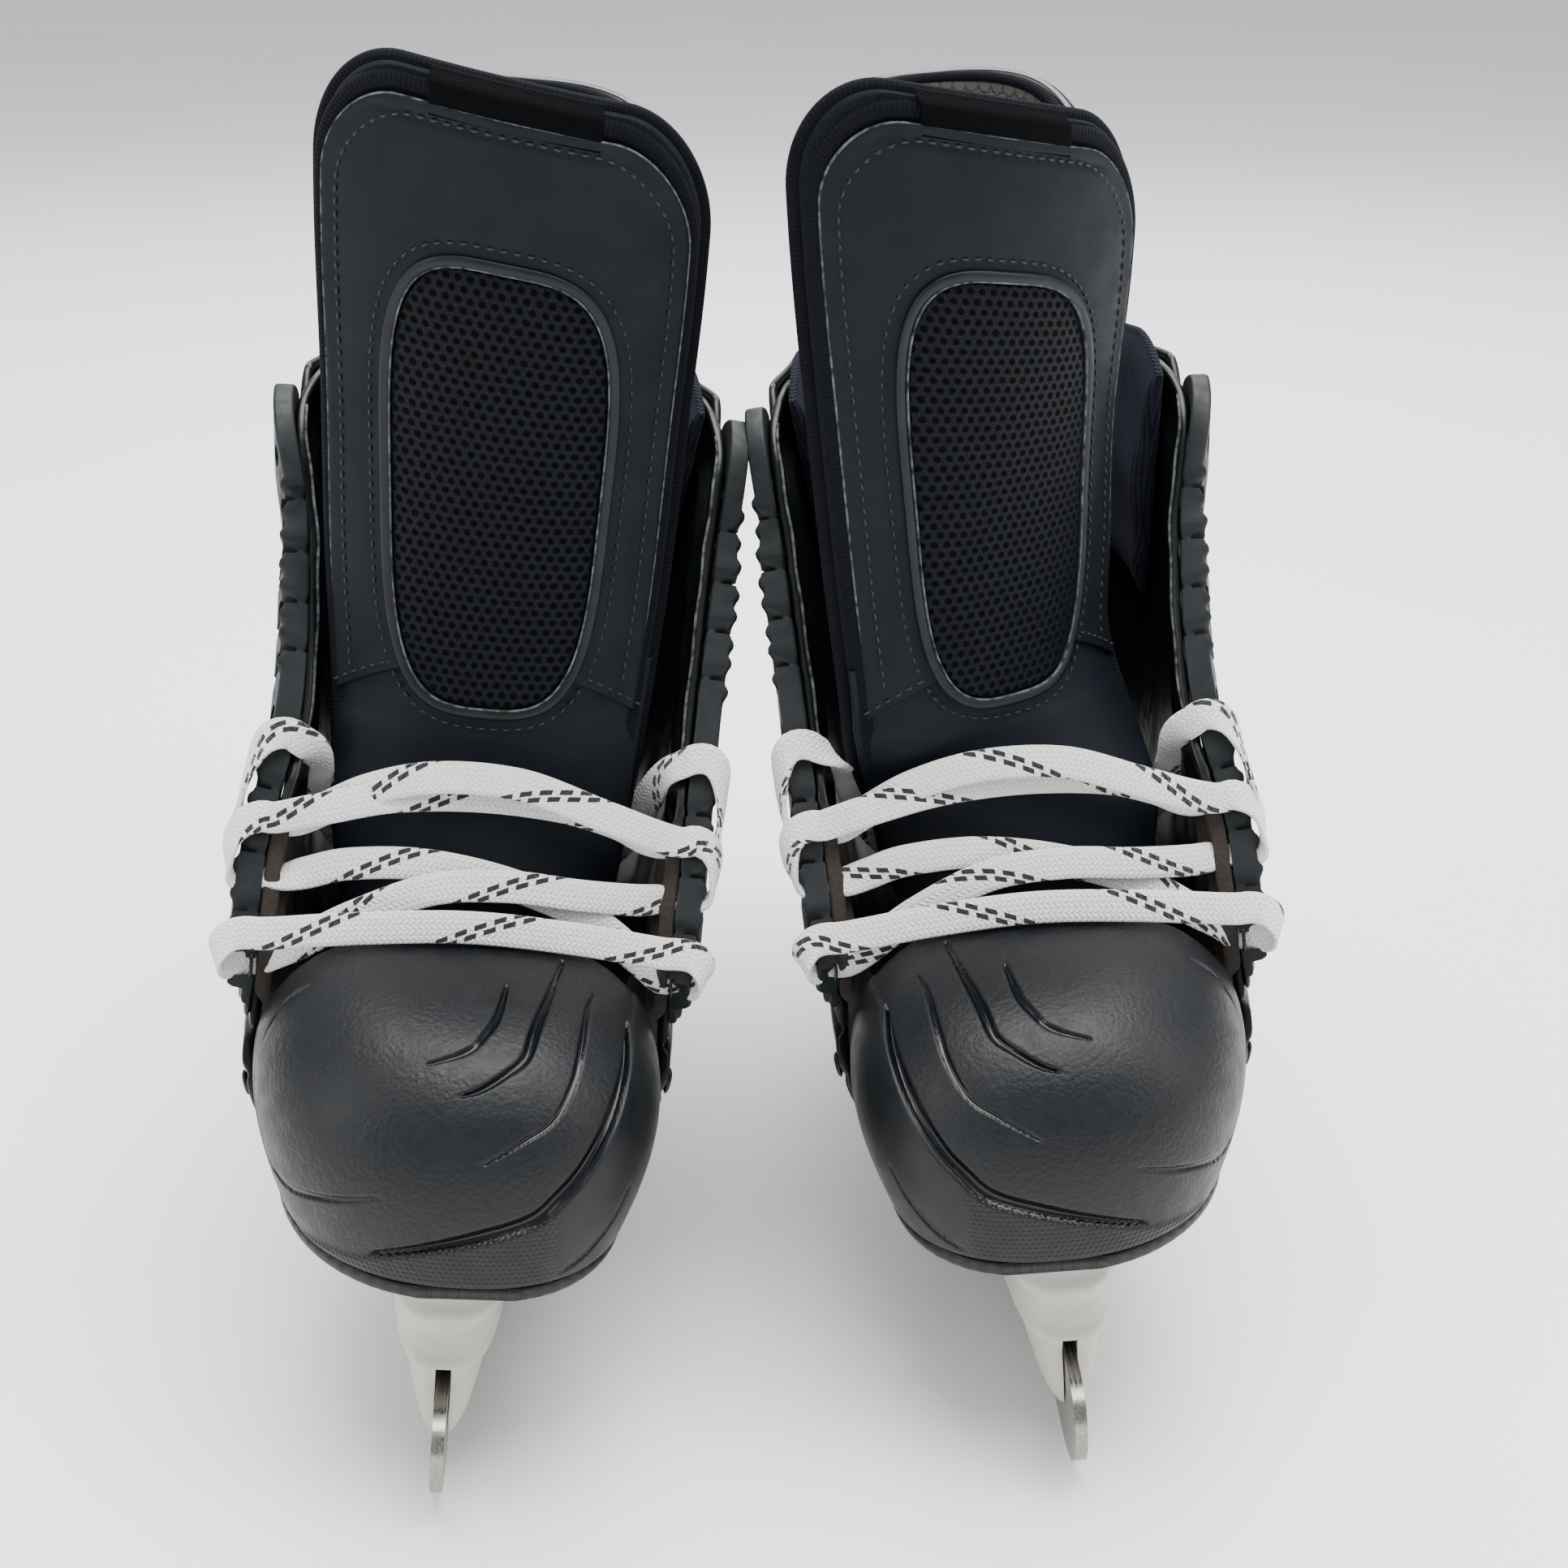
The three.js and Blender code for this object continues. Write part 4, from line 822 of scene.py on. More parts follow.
def coated_composite(colours):
    """Compression-moulded carbon and glass composite under clear coat: deep gloss with a twill
    that only shows where light rakes it."""
    dark, light = shades(colours.shell, 0.8, 1.25)
    material, tree, shader = finish_of(
        "clear_coated_composite", tuple(colours.shell), 0.38, Specular_IOR_Level=0.15,
        Coat_Weight=0.28, Coat_Roughness=0.1)
    # A 2.4 mm twill tow, as in light carbon cloth.
    flat = add(tree, "SeparateXYZ", {0: cut(tree)})
    slant = maths(tree, "ADD", flat.outputs[0], flat.outputs[1])
    crossing = fitted(tree, waves(tree, flat.outputs[1], 0.0012), 0.3, 0.7)
    twill = times(tree, waves(tree, slant, 0.0034), crossing)
    tone(tree, shader, twill, 0.2, 0.9, dark, light)
    polished = mark(tree, "polished")
    scuff = spots(tree, here(tree), 14, 6)
    rough = fitted(tree, polished, -0.18, limits(tree, scuff, 0.35, 0.75, 0.34, 0.46))
    tree.links.new(rough, shader.inputs["Roughness"])
    relief(tree, shader, (twill, 0.03, 0.2), (spots(tree, here(tree), 1.2, 2), 0.03, 0.25))
    return material


def rubbery_plastic(colours):
    """Moulded thermoplastic rubber: dark grey-green, satin, with a fine spark-eroded texture."""
    dark, light = shades(colours.eyestay, 0.75, 1.3)
    material, tree, shader = finish_of(
        "moulded_thermoplastic_rubber", tuple(colours.eyestay), 0.5, Specular_IOR_Level=0.3)
    place = here(tree)
    tone(tree, shader, spots(tree, place, 10, 5), 0.3, 0.75, dark, light)
    roughen(tree, shader, spots(tree, place, 3, 3), 0.3, 0.7, 0.42, 0.58)
    relief(tree, shader, (spots(tree, place, 0.5, 3), 0.07, 0.5))
    return material


def eyelet_hole(colours):
    """The dark inside of an eyelet, rubbed smooth by the lace."""
    material, tree, shader = finish_of("eyelet_lining", linear("#060708"), 0.4)
    relief(tree, shader, (spots(tree, here(tree), 0.6, 2), 0.05, 0.3))
    return material


def boot_lining(colours):
    """Coated polyester lining, black with a wet shine, that turns to brown-grey brushed suede
    along the lower flaps."""
    material, tree, shader = finish_of(
        "coated_and_brushed_lining", linear("#060708"), 0.4, Specular_IOR_Level=0.35)
    suede = mark(tree, "suede")
    place = here(tree)
    nap = noise(tree, place, 900.0, 6.0, Distortion=1.2)
    mixed = times(tree, suede, fitted(tree, nap, 1.1, 0.2))
    tone(tree, shader, mixed, 0.05, 0.85, linear("#050607"), linear("#332d29"))
    gloss = fitted(tree, suede, 0.6, 0.32, use_clamp=True)
    tree.links.new(gloss, shader.inputs["Roughness"])
    creases = spots(tree, place, 11, 2, Distortion=0.8)
    fine = times(tree, nap, fitted(tree, suede, 0.9, 0.1))
    relief(tree, shader, (creases, 0.9, 0.35), (fine, 0.5, 0.8))
    return material


def collar_knit(colours):
    """Padded rib knit round the ankle: dark navy ribs a millimetre and a half apart that catch
    light on their backs."""
    material, tree, shader = finish_of(
        "ribbed_collar_knit", linear("#11121a"), 0.88, Specular_IOR_Level=0.12, Sheen_Weight=0.07,
        Sheen_Roughness=0.45, Sheen_Tint=linear("#8b8fa6"))
    flat = add(tree, "SeparateXYZ", {0: cut(tree)})
    ribs = waves(tree, flat.outputs[0], 0.0016)
    loops = waves(tree, flat.outputs[1], 0.0012)
    knit = times(tree, ribs, fitted(tree, loops, 0.35, 0.65))
    place = here(tree)
    # Besides random tone, the ribs' backs are painted lighter and the hollows between them darker: painted
    # highlight and painted shade.
    mixed = fitted(tree, spots(tree, place, 9, 4), 0.55, times(tree, knit, 0.55))
    tone(tree, shader, mixed, 0.2, 0.85, linear("#090a10"), linear("#1e202c"))
    relief(tree, shader, (knit, 0.4, 0.75), (spots(tree, place, 0.4, 2), 0.12, 0.5))
    return material


def guard_plastic(colours):
    """Moulded polyurethane tendon guard: bright black gloss with faint moulding ripple."""
    material, tree, shader = finish_of(
        "gloss_moulded_polyurethane", linear("#060708"), 0.16, Coat_Weight=0.4, Coat_Roughness=0.06)
    place = here(tree)
    tone(tree, shader, spots(tree, place, 12, 5), 0.3, 0.75, linear("#040506"), linear("#0d0f11"))
    roughen(tree, shader, spots(tree, place, 4, 4), 0.35, 0.75, 0.12, 0.26)
    relief(tree, shader, (spots(tree, place, 6, 2), 0.2, 0.2))
    return material


def honeycomb_lining(colours):
    """Embossed polyester lining of the guard: brown-grey, with small dashes that follow the
    walls of a honeycomb."""
    material, tree, shader = finish_of(
        "embossed_honeycomb_lining", linear("#262322"), 0.8, Sheen_Weight=0.06, Sheen_Roughness=0.5)
    place = cut(tree)
    comb = limits(tree, hexagons(tree, place, 0.0042), 0.0013, 0.0021)
    dashes = limits(tree, cells(tree, here(tree), 0.9), 0.2, 0.6)
    wall = times(tree, comb, dashes)
    # The dashes are pressed in and painted darker than the lining: painted shade in the embossed hollows.
    tone(tree, shader, wall, 0.1, 0.9, linear("#2d2927"), linear("#0f0e0d"))
    relief(tree, shader, (wall, -0.4, 0.7), (spots(tree, here(tree), 0.5, 3), 0.12, 0.5))
    return material


def moulded_nylon(colours):
    """Glass-filled nylon, natural white: milky, half gloss, with light just sinking into it."""
    low = tuple(0.94 * c for c in colours.holder)
    material, tree, shader = finish_of(
        "moulded_white_nylon", tuple(colours.holder), 0.36, IOR=1.53, Subsurface_Weight=0.25,
        Subsurface_Radius=(0.004, 0.0035, 0.003), Subsurface_Scale=0.6)
    place = here(tree)
    tone(tree, shader, spots(tree, place, 16, 4), 0.3, 0.7, low, tuple(colours.holder))
    roughen(tree, shader, spots(tree, place, 7, 4), 0.3, 0.7, 0.3, 0.44)
    relief(tree, shader, (spots(tree, place, 0.9, 3), 0.04, 0.35))
    return material


def ground_steel(colours):
    """Stainless steel, ground lengthwise and lightly polished: soft grey with fine lines that
    run along the blade."""
    material, tree, shader = finish_of(
        "ground_stainless_steel", linear("#908e88"), 0.3, Metallic=1.0, Anisotropic=0.5)
    place = here(tree)
    long_lines = add(tree, "Mapping", {"Vector": place, "Scale": (1500, 14, 1500)}).outputs[0]
    lines = noise(tree, long_lines, 1.0, 3.0)
    tone(tree, shader, lines, 0.3, 0.75, linear("#77756f"), linear("#a3a19b"))
    roughen(tree, shader, lines, 0.3, 0.7, 0.24, 0.4)
    relief(tree, shader, (lines, 0.02, 0.25))
    return material


def turned_steel(colours):
    """Zinc-plated steel pins and rivets: bright grey, faintly clouded by the plating."""
    material, tree, shader = finish_of("zinc_plated_steel", linear("#a3a4a6"), 0.34, Metallic=1.0)
    clouds = spots(tree, here(tree), 1.6, 4)
    tone(tree, shader, clouds, 0.3, 0.75, linear("#7f8184"), linear("#b4b6b8"))
    roughen(tree, shader, clouds, 0.3, 0.7, 0.28, 0.46)
    relief(tree, shader, (spots(tree, here(tree), 0.4, 2), 0.02, 0.4))
    return material


def black_nylon(colours):
    """Glass-filled black nylon: satin, with the faint flow clouds of moulding."""
    material, tree, shader = finish_of(
        "moulded_black_nylon", linear("#0b0c0e"), 0.5, Specular_IOR_Level=0.35)
    place = here(tree)
    tone(tree, shader, spots(tree, place, 7, 4), 0.3, 0.75, linear("#07080a"), linear("#14171a"))
    relief(tree, shader, (spots(tree, place, 0.6, 3), 0.05, 0.5))
    return material


def sole_composite(colours):
    """Pressed composite outsole: dull black with a plain weave of 2 mm tows."""
    material, tree, shader = finish_of(
        "pressed_composite_sole", linear("#0c0e10"), 0.5, Specular_IOR_Level=0.3)
    tows = weave(tree, cut(tree), 0.002, 0.002)
    tone(tree, shader, tows, 0.1, 0.9, linear("#07090a"), linear("#15181a"))
    roughen(tree, shader, tows, 0, 1, 0.58, 0.42)
    relief(tree, shader, (tows, 0.09, 0.5))
    return material


def footbed_foam(colours):
    """Moulded foam footbed under a thin brushed cover: soft, dull and slightly mottled."""
    material, tree, shader = finish_of("brushed_foam_footbed", linear("#14161b"), 0.95, Sheen_Weight=0.06)
    place = here(tree)
    tone(tree, shader, spots(tree, place, 1.4, 5), 0.3, 0.7, linear("#0d0e12"), linear("#1d2027"))
    relief(tree, shader, (spots(tree, place, 0.7, 4), 0.25, 0.7))
    return material


def woven_label(colours):
    """Damask-woven polyester tag: black, smooth, with a fine satin rib and a plain border."""
    material, tree, shader = finish_of(
        "woven_satin_tag", linear("#030406"), 0.75, Specular_IOR_Level=0.05)
    flat = add(tree, "SeparateXYZ", {0: cut(tree)})
    ribs = waves(tree, flat.outputs[1], 0.0005)
    tone(tree, shader, ribs, 0.1, 0.9, linear("#010102"), linear("#06070a"))
    relief(tree, shader, (weave(tree, cut(tree), 0.0007, 0.0005), 0.09, 0.7))
    return material


def braided_cotton(colours, sizes):
    """Flat tubular braid of bleached cotton: plaited V's in narrow columns, a soft fuzz, and two
    dark tracer yarns that wind round it side by side and show as slanting rows of dashes."""
    material, tree, shader = finish_of(
        "braided_bleached_cotton", tuple(colours.lace), 0.93, Specular_IOR_Level=0.2, Sheen_Weight=0.35,
        Sheen_Roughness=0.6, Sheen_Tint=(1.0, 1.0, 1.0), Subsurface_Weight=0.12,
        Subsurface_Radius=(0.0012, 0.0011, 0.001), Subsurface_Scale=0.5)
    flat = add(tree, "SeparateXYZ", {0: cut(tree)})
    gone, round_it = flat.outputs[0], flat.outputs[1]
    column = 0.0013
    place = maths(tree, "DIVIDE", round_it, column)
    inside = maths(tree, "FRACT", place)
    parity = maths(tree, "FRACT", times(tree, maths(tree, "FLOOR", place), 0.5))
    slant = fitted(tree, maths(tree, "GREATER_THAN", parity, 0.25), 2.0, -1.0)
    slide = times(tree, times(tree, slant, inside), 0.0011)
    plait = waves(tree, maths(tree, "ADD", gone, slide), 0.0015)
    valley = maths(tree, "SINE", times(tree, inside, math.pi))
    ridge = maths(tree, "POWER", valley, 0.25)
    braid = times(tree, ridge, fitted(tree, plait, 0.75, 0.25))
    # The tracers take 42 mm for one turn round the braid, and stand 1.7 mm apart.
    girth = 2 * sizes.lace_width + 0.0008
    turns = maths(tree, "DIVIDE", gone, 0.042)
    helix = maths(tree, "SUBTRACT", maths(tree, "DIVIDE", round_it, girth), turns)
    dark = None
    for offset, start in ((0.0, 0.0), (0.108, 0.5)):
        turn = maths(tree, "FRACT", maths(tree, "ADD", helix, 10.5 + offset))
        aside = maths(tree, "ABSOLUTE", maths(tree, "SUBTRACT", turn, 0.5))
        near = limits(tree, aside, 0.036, 0.044, 1.0, 0.0)
        beat = maths(tree, "FRACT", maths(tree, "ADD", maths(tree, "DIVIDE", gone, 0.0046), start))
        off_beat = maths(tree, "ABSOLUTE", maths(tree, "SUBTRACT", beat, 0.5))
        dash = times(tree, near, limits(tree, off_beat, 0.3, 0.33, 1.0, 0.0))
        dark = dash if dark is None else maths(tree, "MAXIMUM", dark, dash)
    fuzz = noise(tree, here(tree), 2600.0, 5.0, Distortion=1.5)
    shade = fitted(tree, braid, 0.55, times(tree, fuzz, 0.45))
    pale = add(tree, "ValToRGB", {"Fac": shade})
    low, high = pale.color_ramp.elements
    low.position, low.color = 0.12, (*(0.66 * c for c in colours.lace), 1)
    high.position, high.color = 0.62, (*colours.lace, 1)
    both = add(tree, "Mix", {0: dark, 6: pale.outputs[0], 7: (*colours.tracer, 1)}, data_type="RGBA")
    tree.links.new(both.outputs[2], shader.inputs["Base Color"])
    relief(tree, shader, (braid, 0.42, 0.85), (fuzz, 0.16, 0.6))
    return material


def painted_floor(colours):
    """A matt white studio floor, faintly mottled so that it isn't a flat fill."""
    material, tree, shader = finish_of("matt_white_floor", linear("#fbfbfb"), 0.8, Specular_IOR_Level=0.1)
    tone(tree, shader, spots(tree, here(tree), 400, 2), 0.3, 0.7, linear("#f9f9f9"), linear("#fdfdfd"))
    return material


def materials():
    """Every material, made once."""
    colours, sizes = bpy.context.scene.skate_colours, bpy.context.scene.skate_sizes
    makers = (
        coated_microfibre, leather_piping, cut_edge, knit_binding, felt_core, thread, grained_cap,
        coated_composite, rubbery_plastic, eyelet_hole, boot_lining, collar_knit, guard_plastic,
        honeycomb_lining, moulded_nylon, ground_steel, turned_steel, black_nylon, sole_composite,
        footbed_foam, woven_label, painted_floor,
    )
    if not MADE:
        MADE.update({m.__name__: m(colours) for m in makers})
        MADE["spacer_mesh"] = spacer_mesh(colours, sizes)
        MADE["braided_cotton"] = braided_cotton(colours, sizes)
    return MADE


MADE = {}


# ==== The lace ==============================================================================

# The lace from where it rises out of the boot, over one edge of the throat, through the three
# lowest eyelets of both sides and back in over the other edge.
LACE_ROUTE = (
    (-14, -9.6, 93), (-26, -17, 108), (-37, -29, 126), (-42, -41, 144), (-45.4, -48.6, 155.5),
    (-50, -51, 159.8), (-53, -51.5, 161.6), (-56.5, -52, 161.4), (-59, -52.8, 158.4),
    (-60, -55, 151), (-59.6, -58, 144.5), (-57.6, -59.6, 141.1),
    (-52, -58.7, 140.5), (-46.5, -58.2, 140.4),
    (-40, -59.5, 145), (-27, -62, 153), (-10, -64, 158), (10, -64.5, 157.5), (29, -65.5, 151.5),
    (43, -65, 146.3), (50, -63.6, 144), (53.5, -63.4, 144.6), (57.4, -63.4, 142.6),
    (59, -64.4, 138), (58.6, -66.4, 132), (57, -67.2, 129.7),
    (52, -66.2, 129.2), (46.5, -65.6, 128.9),
    (40, -68, 129.5), (26, -72, 132), (8, -73.4, 134.2), (-10, -73.8, 132.5),
    (-28, -74.8, 124.5), (-41, -75.4, 115.5), (-47.2, -75, 110.8),
    (-52, -77.2, 111.5), (-56.6, -79.8, 112.8), (-57.8, -80.3, 116.2), (-55.8, -79.8, 119.8),
    (-52, -79.2, 121), (-46, -80, 121.6),
    (-25, -81.2, 125), (0, -80.4, 126.2), (25, -81.2, 125),
    (46, -80, 121.6), (52, -79.2, 121), (55.8, -79.8, 119.8), (57.8, -80.3, 116.2),
    (56.6, -79.8, 112.8), (52, -77.2, 111.5), (47.2, -75, 110.8),
    (41, -73.8, 116.5), (27, -71.6, 126.5), (8, -69.8, 133.2), (-12, -68.4, 136.3),
    (-30, -66.4, 134.5), (-40, -65.4, 131), (-46.5, -65.4, 129),
    (-52, -66.2, 129.3), (-57, -67.2, 129.8), (-58.8, -66.8, 133.6), (-59, -65.4, 139),
    (-57.4, -64.2, 143), (-53.5, -63.8, 144.8), (-50, -63.6, 144.6),
    (-38, -63.6, 148), (-20, -62.6, 151.6), (0, -61.4, 152.4), (20, -60.4, 150.4),
    (34, -59, 146), (41, -58.2, 142), (46.5, -58, 140.3),
    (52, -58.7, 140.4), (57.6, -59.6, 141.1), (59.6, -58, 144.5), (60, -55, 151),
    (59, -52.8, 158.4), (56.5, -52, 161.4), (53, -51.5, 161.6), (50, -51, 159.8),
    (45.4, -48.6, 155.5), (42, -41, 144), (37, -29, 126), (26, -17, 108), (14, -9.6, 93),
)
HANK_FRONT = -4.0
HANK_FLOOR = 89.0
HANK_LAYER = 3.2


def over_throat(points):
    """Draws the lace in with the outer edge of the throat, which narrows above the toes."""
    x, y, z = np.moveaxis(points, -1, 0)
    narrowing = (z - 138) * np.where(z > 138, 0.26, 0.11)
    return np.stack([x + narrowing * np.clip((-x - 20) / 25, 0, 1), y, z], -1)


def hank_tail(mirror, runs):
    """One tail of the lace folded up and down inside the boot: four runs in each of two columns."""
    length = runs / 8
    places = [(mirror * 13.6, HANK_FRONT - 1.5, HANK_FLOOR + 1.5)]
    for column, x in enumerate((12.9, 4.3)):
        for k in range(4):
            level = k if column == 0 else 3 - k
            z = HANK_FLOOR + HANK_LAYER * level
            away = (k + column * 4) % 2 == 0
            ys = np.linspace(0, length, 9) if away else np.linspace(length, 0, 9)
            places += [(mirror * x, HANK_FRONT + 3 + y, z) for y in ys]
            if k < 3:
                turn = HANK_LAYER / 2 * (1 if column == 0 else -1)
                end = HANK_FRONT + 3 + (length + 1.6 if away else -1.6)
                places.append((mirror * x, end, z + turn))
    return np.array(places)


def lace_line(skate, length):
    """The lace's middle line from tip to tip, and its flat side's direction."""
    route = np.array(LACE_ROUTE) * (skate.mirror, 1, 1)
    route = over_throat(route)
    seen = curve_through(route, 1.2)
    first = 1 if route[0, 0] > 0 else -1
    spare = length - run(seen, 0)[-1]
    tails = spare / 2 - 44
    line = np.concatenate([
        curve_through(hank_tail(first, tails)[::-1], 1.2), seen[3:-3],
        curve_through(hank_tail(-first, tails), 1.2)])
    line = curve_through(line[::2], 1.2)
    tangent = unit(np.gradient(line, axis=0))
    sides = np.linspace(0, THROAT_END, 160)
    cores = np.concatenate([upper(s, below(s, 4.5), 2.4) for s in (sides, 1 - sides)])
    gaps = np.linalg.norm(line[:, None] - cores[None], axis=-1)
    away = unit(line - cores[gaps.argmin(1)])
    rim = step(np.abs(line[:, 0]), 40, 49) * step(line[:, 2], 104, 109)
    hank = (1 - step(line[:, 2], 100, 122)) * step(line[:, 1], -50, -24)
    flat = np.zeros_like(line)
    ahead = np.array([0, -0.9, 0.43])
    last = np.array([0.0, 0.0, 1.0])
    for i in range(len(line)):
        choices = [away[i], ahead, np.cross(tangent[i], (1, 0, 0))]
        weights = [rim[i] * (1 - hank[i]), (1 - rim[i]) * (1 - hank[i]), hank[i]]
        total = last * 0.02
        for choice, weight in zip(choices, weights):
            choice = choice - (choice @ tangent[i]) * tangent[i]
            total = total + weight * unit(choice) * (1 if choice @ last >= 0 else -1)
        last = unit(total - (total @ tangent[i]) * tangent[i])
        flat[i] = last
    for _ in range(10):
        flat[1:-1] = unit(flat[:-2] + 2 * flat[1:-1] + flat[2:])
    return line, flat


def eyelet_places(side):
    """Middle of each eyelet on the inner (1) or outer (-1) side, and the boot's normal there."""
    s = np.linspace(0, THROAT_END, 400)
    gone = run(skin(s, 0 * s + 1), 0)
    wanted = 8 + np.array([0] + [21 + 13.2 * k for k in range(9)])
    at = np.interp(wanted, gone, s)
    v = below(at, 6.5)
    at = at if side > 0 else 1 - at
    low, high = upper(at, v, 0 * at), upper(at, v, 0 * at + 1)
    return low, high - low


class SKATES_OT_lace(bpy.types.Operator):
    """Makes one flat cotton lace for each skate, with its tails folded inside the boot"""

    bl_idname = "skates.lace"
    bl_label = "Laces"

    def execute(self, context):
        sizes = context.scene.skate_sizes
        wide, thick = sizes.lace_width * 1000, sizes.lace_thickness * 1000
        for side in SIDES:
            skate = Skate(side)
            line, flat = lace_line(skate, sizes.lace_length * 1000)
            holes = np.concatenate([eyelet_places(k)[0] for k in (1, -1)])
            near = np.linalg.norm(line[:, None] - holes[None], axis=-1).min(1)
            pinch = np.exp(-((near / 4.5) ** 2))
            form = band(
                line, flat, wide * (1 - 0.3 * pinch), thick * (1 + 0.5 * pinch), sides=18, power=0.62)
            lace = make(
                skate, "flat_lace", form, "braided_cotton", "lace",
                stands_for=("lace", "lace_hank"))
            path = skate.world(line)
        return {"FINISHED"}


# ==== The boot ==============================================================================

def swell(points, line, width):
    """1 on a line of points and falling to 0 a width away, pointed at the line's ends."""
    line = curve_through(line, 0.4)
    share = np.linspace(0, 1, len(line))
    reach = width * np.clip(np.sin(math.pi * share), 0.03, 1) ** 0.55
    flat = points.reshape(-1, 3)
    best = np.zeros(len(flat))
    for k in range(len(line)):
        gap = np.sqrt(((flat - line[k]) ** 2).sum(-1))
        best = np.maximum(best, np.clip(1 - gap / reach[k], 0, 1))
    return best.reshape(points.shape[:-1])


def panel_marks(s, v):
    """The boot side's pressed shapes: depth over the plain surface, and how polished it is."""
    p = skin(s, v)
    y, z = p[..., 1], p[..., 2]
    sweep = z - (84 + 74 * step(y, -100, 96))
    rib = np.exp(-((sweep / 1.4) ** 2)) + np.exp(-(((sweep - 11) / 1.2) ** 2))
    inside = step(sweep, 0, 3) * (1 - step(sweep, 8, 11))
    heel = (y - (44 + 0.36 * (z - 78) + 0.0012 * (z - 78) ** 2)) * 0.94
    cup = step(heel, 0, 2.5)
    line = np.exp(-(((heel + 1.2) / 1.1) ** 2))
    second = np.exp(-(((z - (72 + 0.1 * (y + 90))) / 1.1) ** 2)) * (1 - cup)
    front = step(y, -92, -84)
    depth = (0.55 * inside - 0.75 * rib) * (1 - cup) * front + 0.7 * cup - 0.7 * line - 0.5 * second
    polished = np.clip((rib + 0.7 * inside) * (1 - cup) + line + second, 0, 1)
    return depth, polished


class SKATES_OT_shell(bpy.types.Operator):
    """Makes the moulded composite boot shells with their pressed ribs and heel cups"""

    bl_idname = "skates.shell"
    bl_label = "Boot shells"

    def execute(self, context):
        us, vs = spaced(560, 1.9, 1.2), spaced(130, 1.7, 1.2)
        s, t = np.meshgrid(us, vs)
        depth, polished = panel_marks(s, t * shell_top(s))
        # The surface starts 0.7 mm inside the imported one, so no raised shape stands out of it.
        outer = depth - 0.7
        for side in SIDES:
            skate = Skate(side)
            form = layer(
                lambda a, b, d: upper(a, b * shell_top(a), d), us, vs, outer, -SHELL_WALL, 1.2)
            make(skate, "moulded_shell", form, "coated_composite", "shell",
                 stands_for=("quarter_shell",), marks={"polished": polished})
            studs = []
            for s_at, z_at in ((0.012, 0.42), (0.016, 0.8), (0.985, 0.3), (0.986, 0.72)):
                at = upper(np.array(s_at), np.array(z_at), 0.0)
                out = unit(upper(np.array(s_at), np.array(z_at), 1.0) - at)
                up = unit(np.array([0, 0.25, 1.0]) - out * (out @ np.array([0, 0.25, 1.0])))
                turn = np.linspace(-1, 1, 9)
                spine = at + np.outer(turn * 3.4, up)
                fat = 0.3 + 3.0 * np.sqrt(np.clip(1 - turn**2, 0, 1))
                studs.append(band(spine, np.tile(out, (9, 1)), fat, fat * 0.55, sides=12, power=1))
            make(skate, "shell_studs", joined(studs), "coated_composite", "shell")
        return {"FINISHED"}


# Lines on the cap, with each one's width and depth.
CAP_GROOVES = (
    (((10, -95, 122), (8, -110, 120), (5, -117, 119), (3, -120, 118), (-1, -122, 116),
      (-8, -124, 115)), 1.3, 0.9),
    (((23, -83, 121), (20, -100, 121), (17, -113, 119), (15, -121, 116), (11, -125, 114),
      (5, -129, 112), (-1, -130, 110)), 1.6, 1.1),
    (((32, -90, 119), (29, -102, 118), (28, -113, 116), (26, -124, 111), (22, -131, 106),
      (16, -135, 103), (5, -139, 97)), 1.1, 0.6),
    (((-31, -93, 118), (-41, -91, 112), (-46, -95, 103), (-48, -99, 92), (-46, -110, 80),
      (-39, -121, 79), (-32, -130, 82), (-24, -135, 85), (-14, -139, 89)), 1.5, 0.7),
    (((-20, -138, 72), (-6, -142, 77), (7, -142, 81), (19, -140, 85), (25, -138, 90),
      (30, -134, 95), (34, -127, 101), (38, -116, 108), (39, -97, 113)), 2.3, 1.4),
    (((41, -122, 88), (40, -126, 84), (37, -130, 78), (31, -135, 72), (24, -139, 69)), 1.2, 0.6),
)
BUMPER_GROOVE = 4


class SKATES_OT_cap(bpy.types.Operator):
    """Makes the grained toe caps with their polished grooves and ribbed bumper"""

    bl_idname = "skates.cap"
    bl_label = "Toe caps"

    def execute(self, context):
        us = spaced(190, 0.6, 1.2) * math.pi - math.pi / 2
        vs = spaced(92, 0.55, 1.2)
        angle, t = np.meshgrid(us, vs)
        plain = cap_point(angle, t, 0.0)
        depth, polished = np.zeros(angle.shape), np.zeros(angle.shape)
        for line, width, deep in CAP_GROOVES:
            mark = swell(plain, line, width)
            depth -= deep * np.minimum(mark * 1.5, 1)
            polished = np.maximum(polished, step(mark, 0.0, 0.3))
        # Distance below the bumper's upper edge, which is the widest groove.
        edge = curve_through(CAP_GROOVES[BUMPER_GROOVE][0], 1.0)
        edge = np.concatenate([[(-48, -100, 64)], edge, [(47, -84, 112)]])
        way = np.arctan2(edge[:, 0], -(edge[:, 1] + 92))
        order = np.argsort(way)
        height = np.interp(np.arctan2(plain[..., 0], -(plain[..., 1] + 92)), way[order], edge[order, 2])
        away = height - plain[..., 2]
        bumper = step(away, 0.5, 1.6)
        depth += 0.45 * bumper
        inner = step(plain[..., 0], 20, 27)
        outer = np.minimum(depth - 0.45, 0)
        form = layer(lambda a, b, d: cap_point(a, b, -d), us, vs, outer, -SHELL_WALL, 1.2, "lrb")
        marks = {
            "polished": polished, "ribbed": bumper * inner, "hexed": bumper * (1 - inner),
            "away": away / 1000 * 0.8,
        }
        for side in SIDES:
            make(Skate(side), "moulded_cap", form, "grained_cap", "cap",
                 stands_for=("toe_cap",), marks=marks)
        return {"FINISHED"}


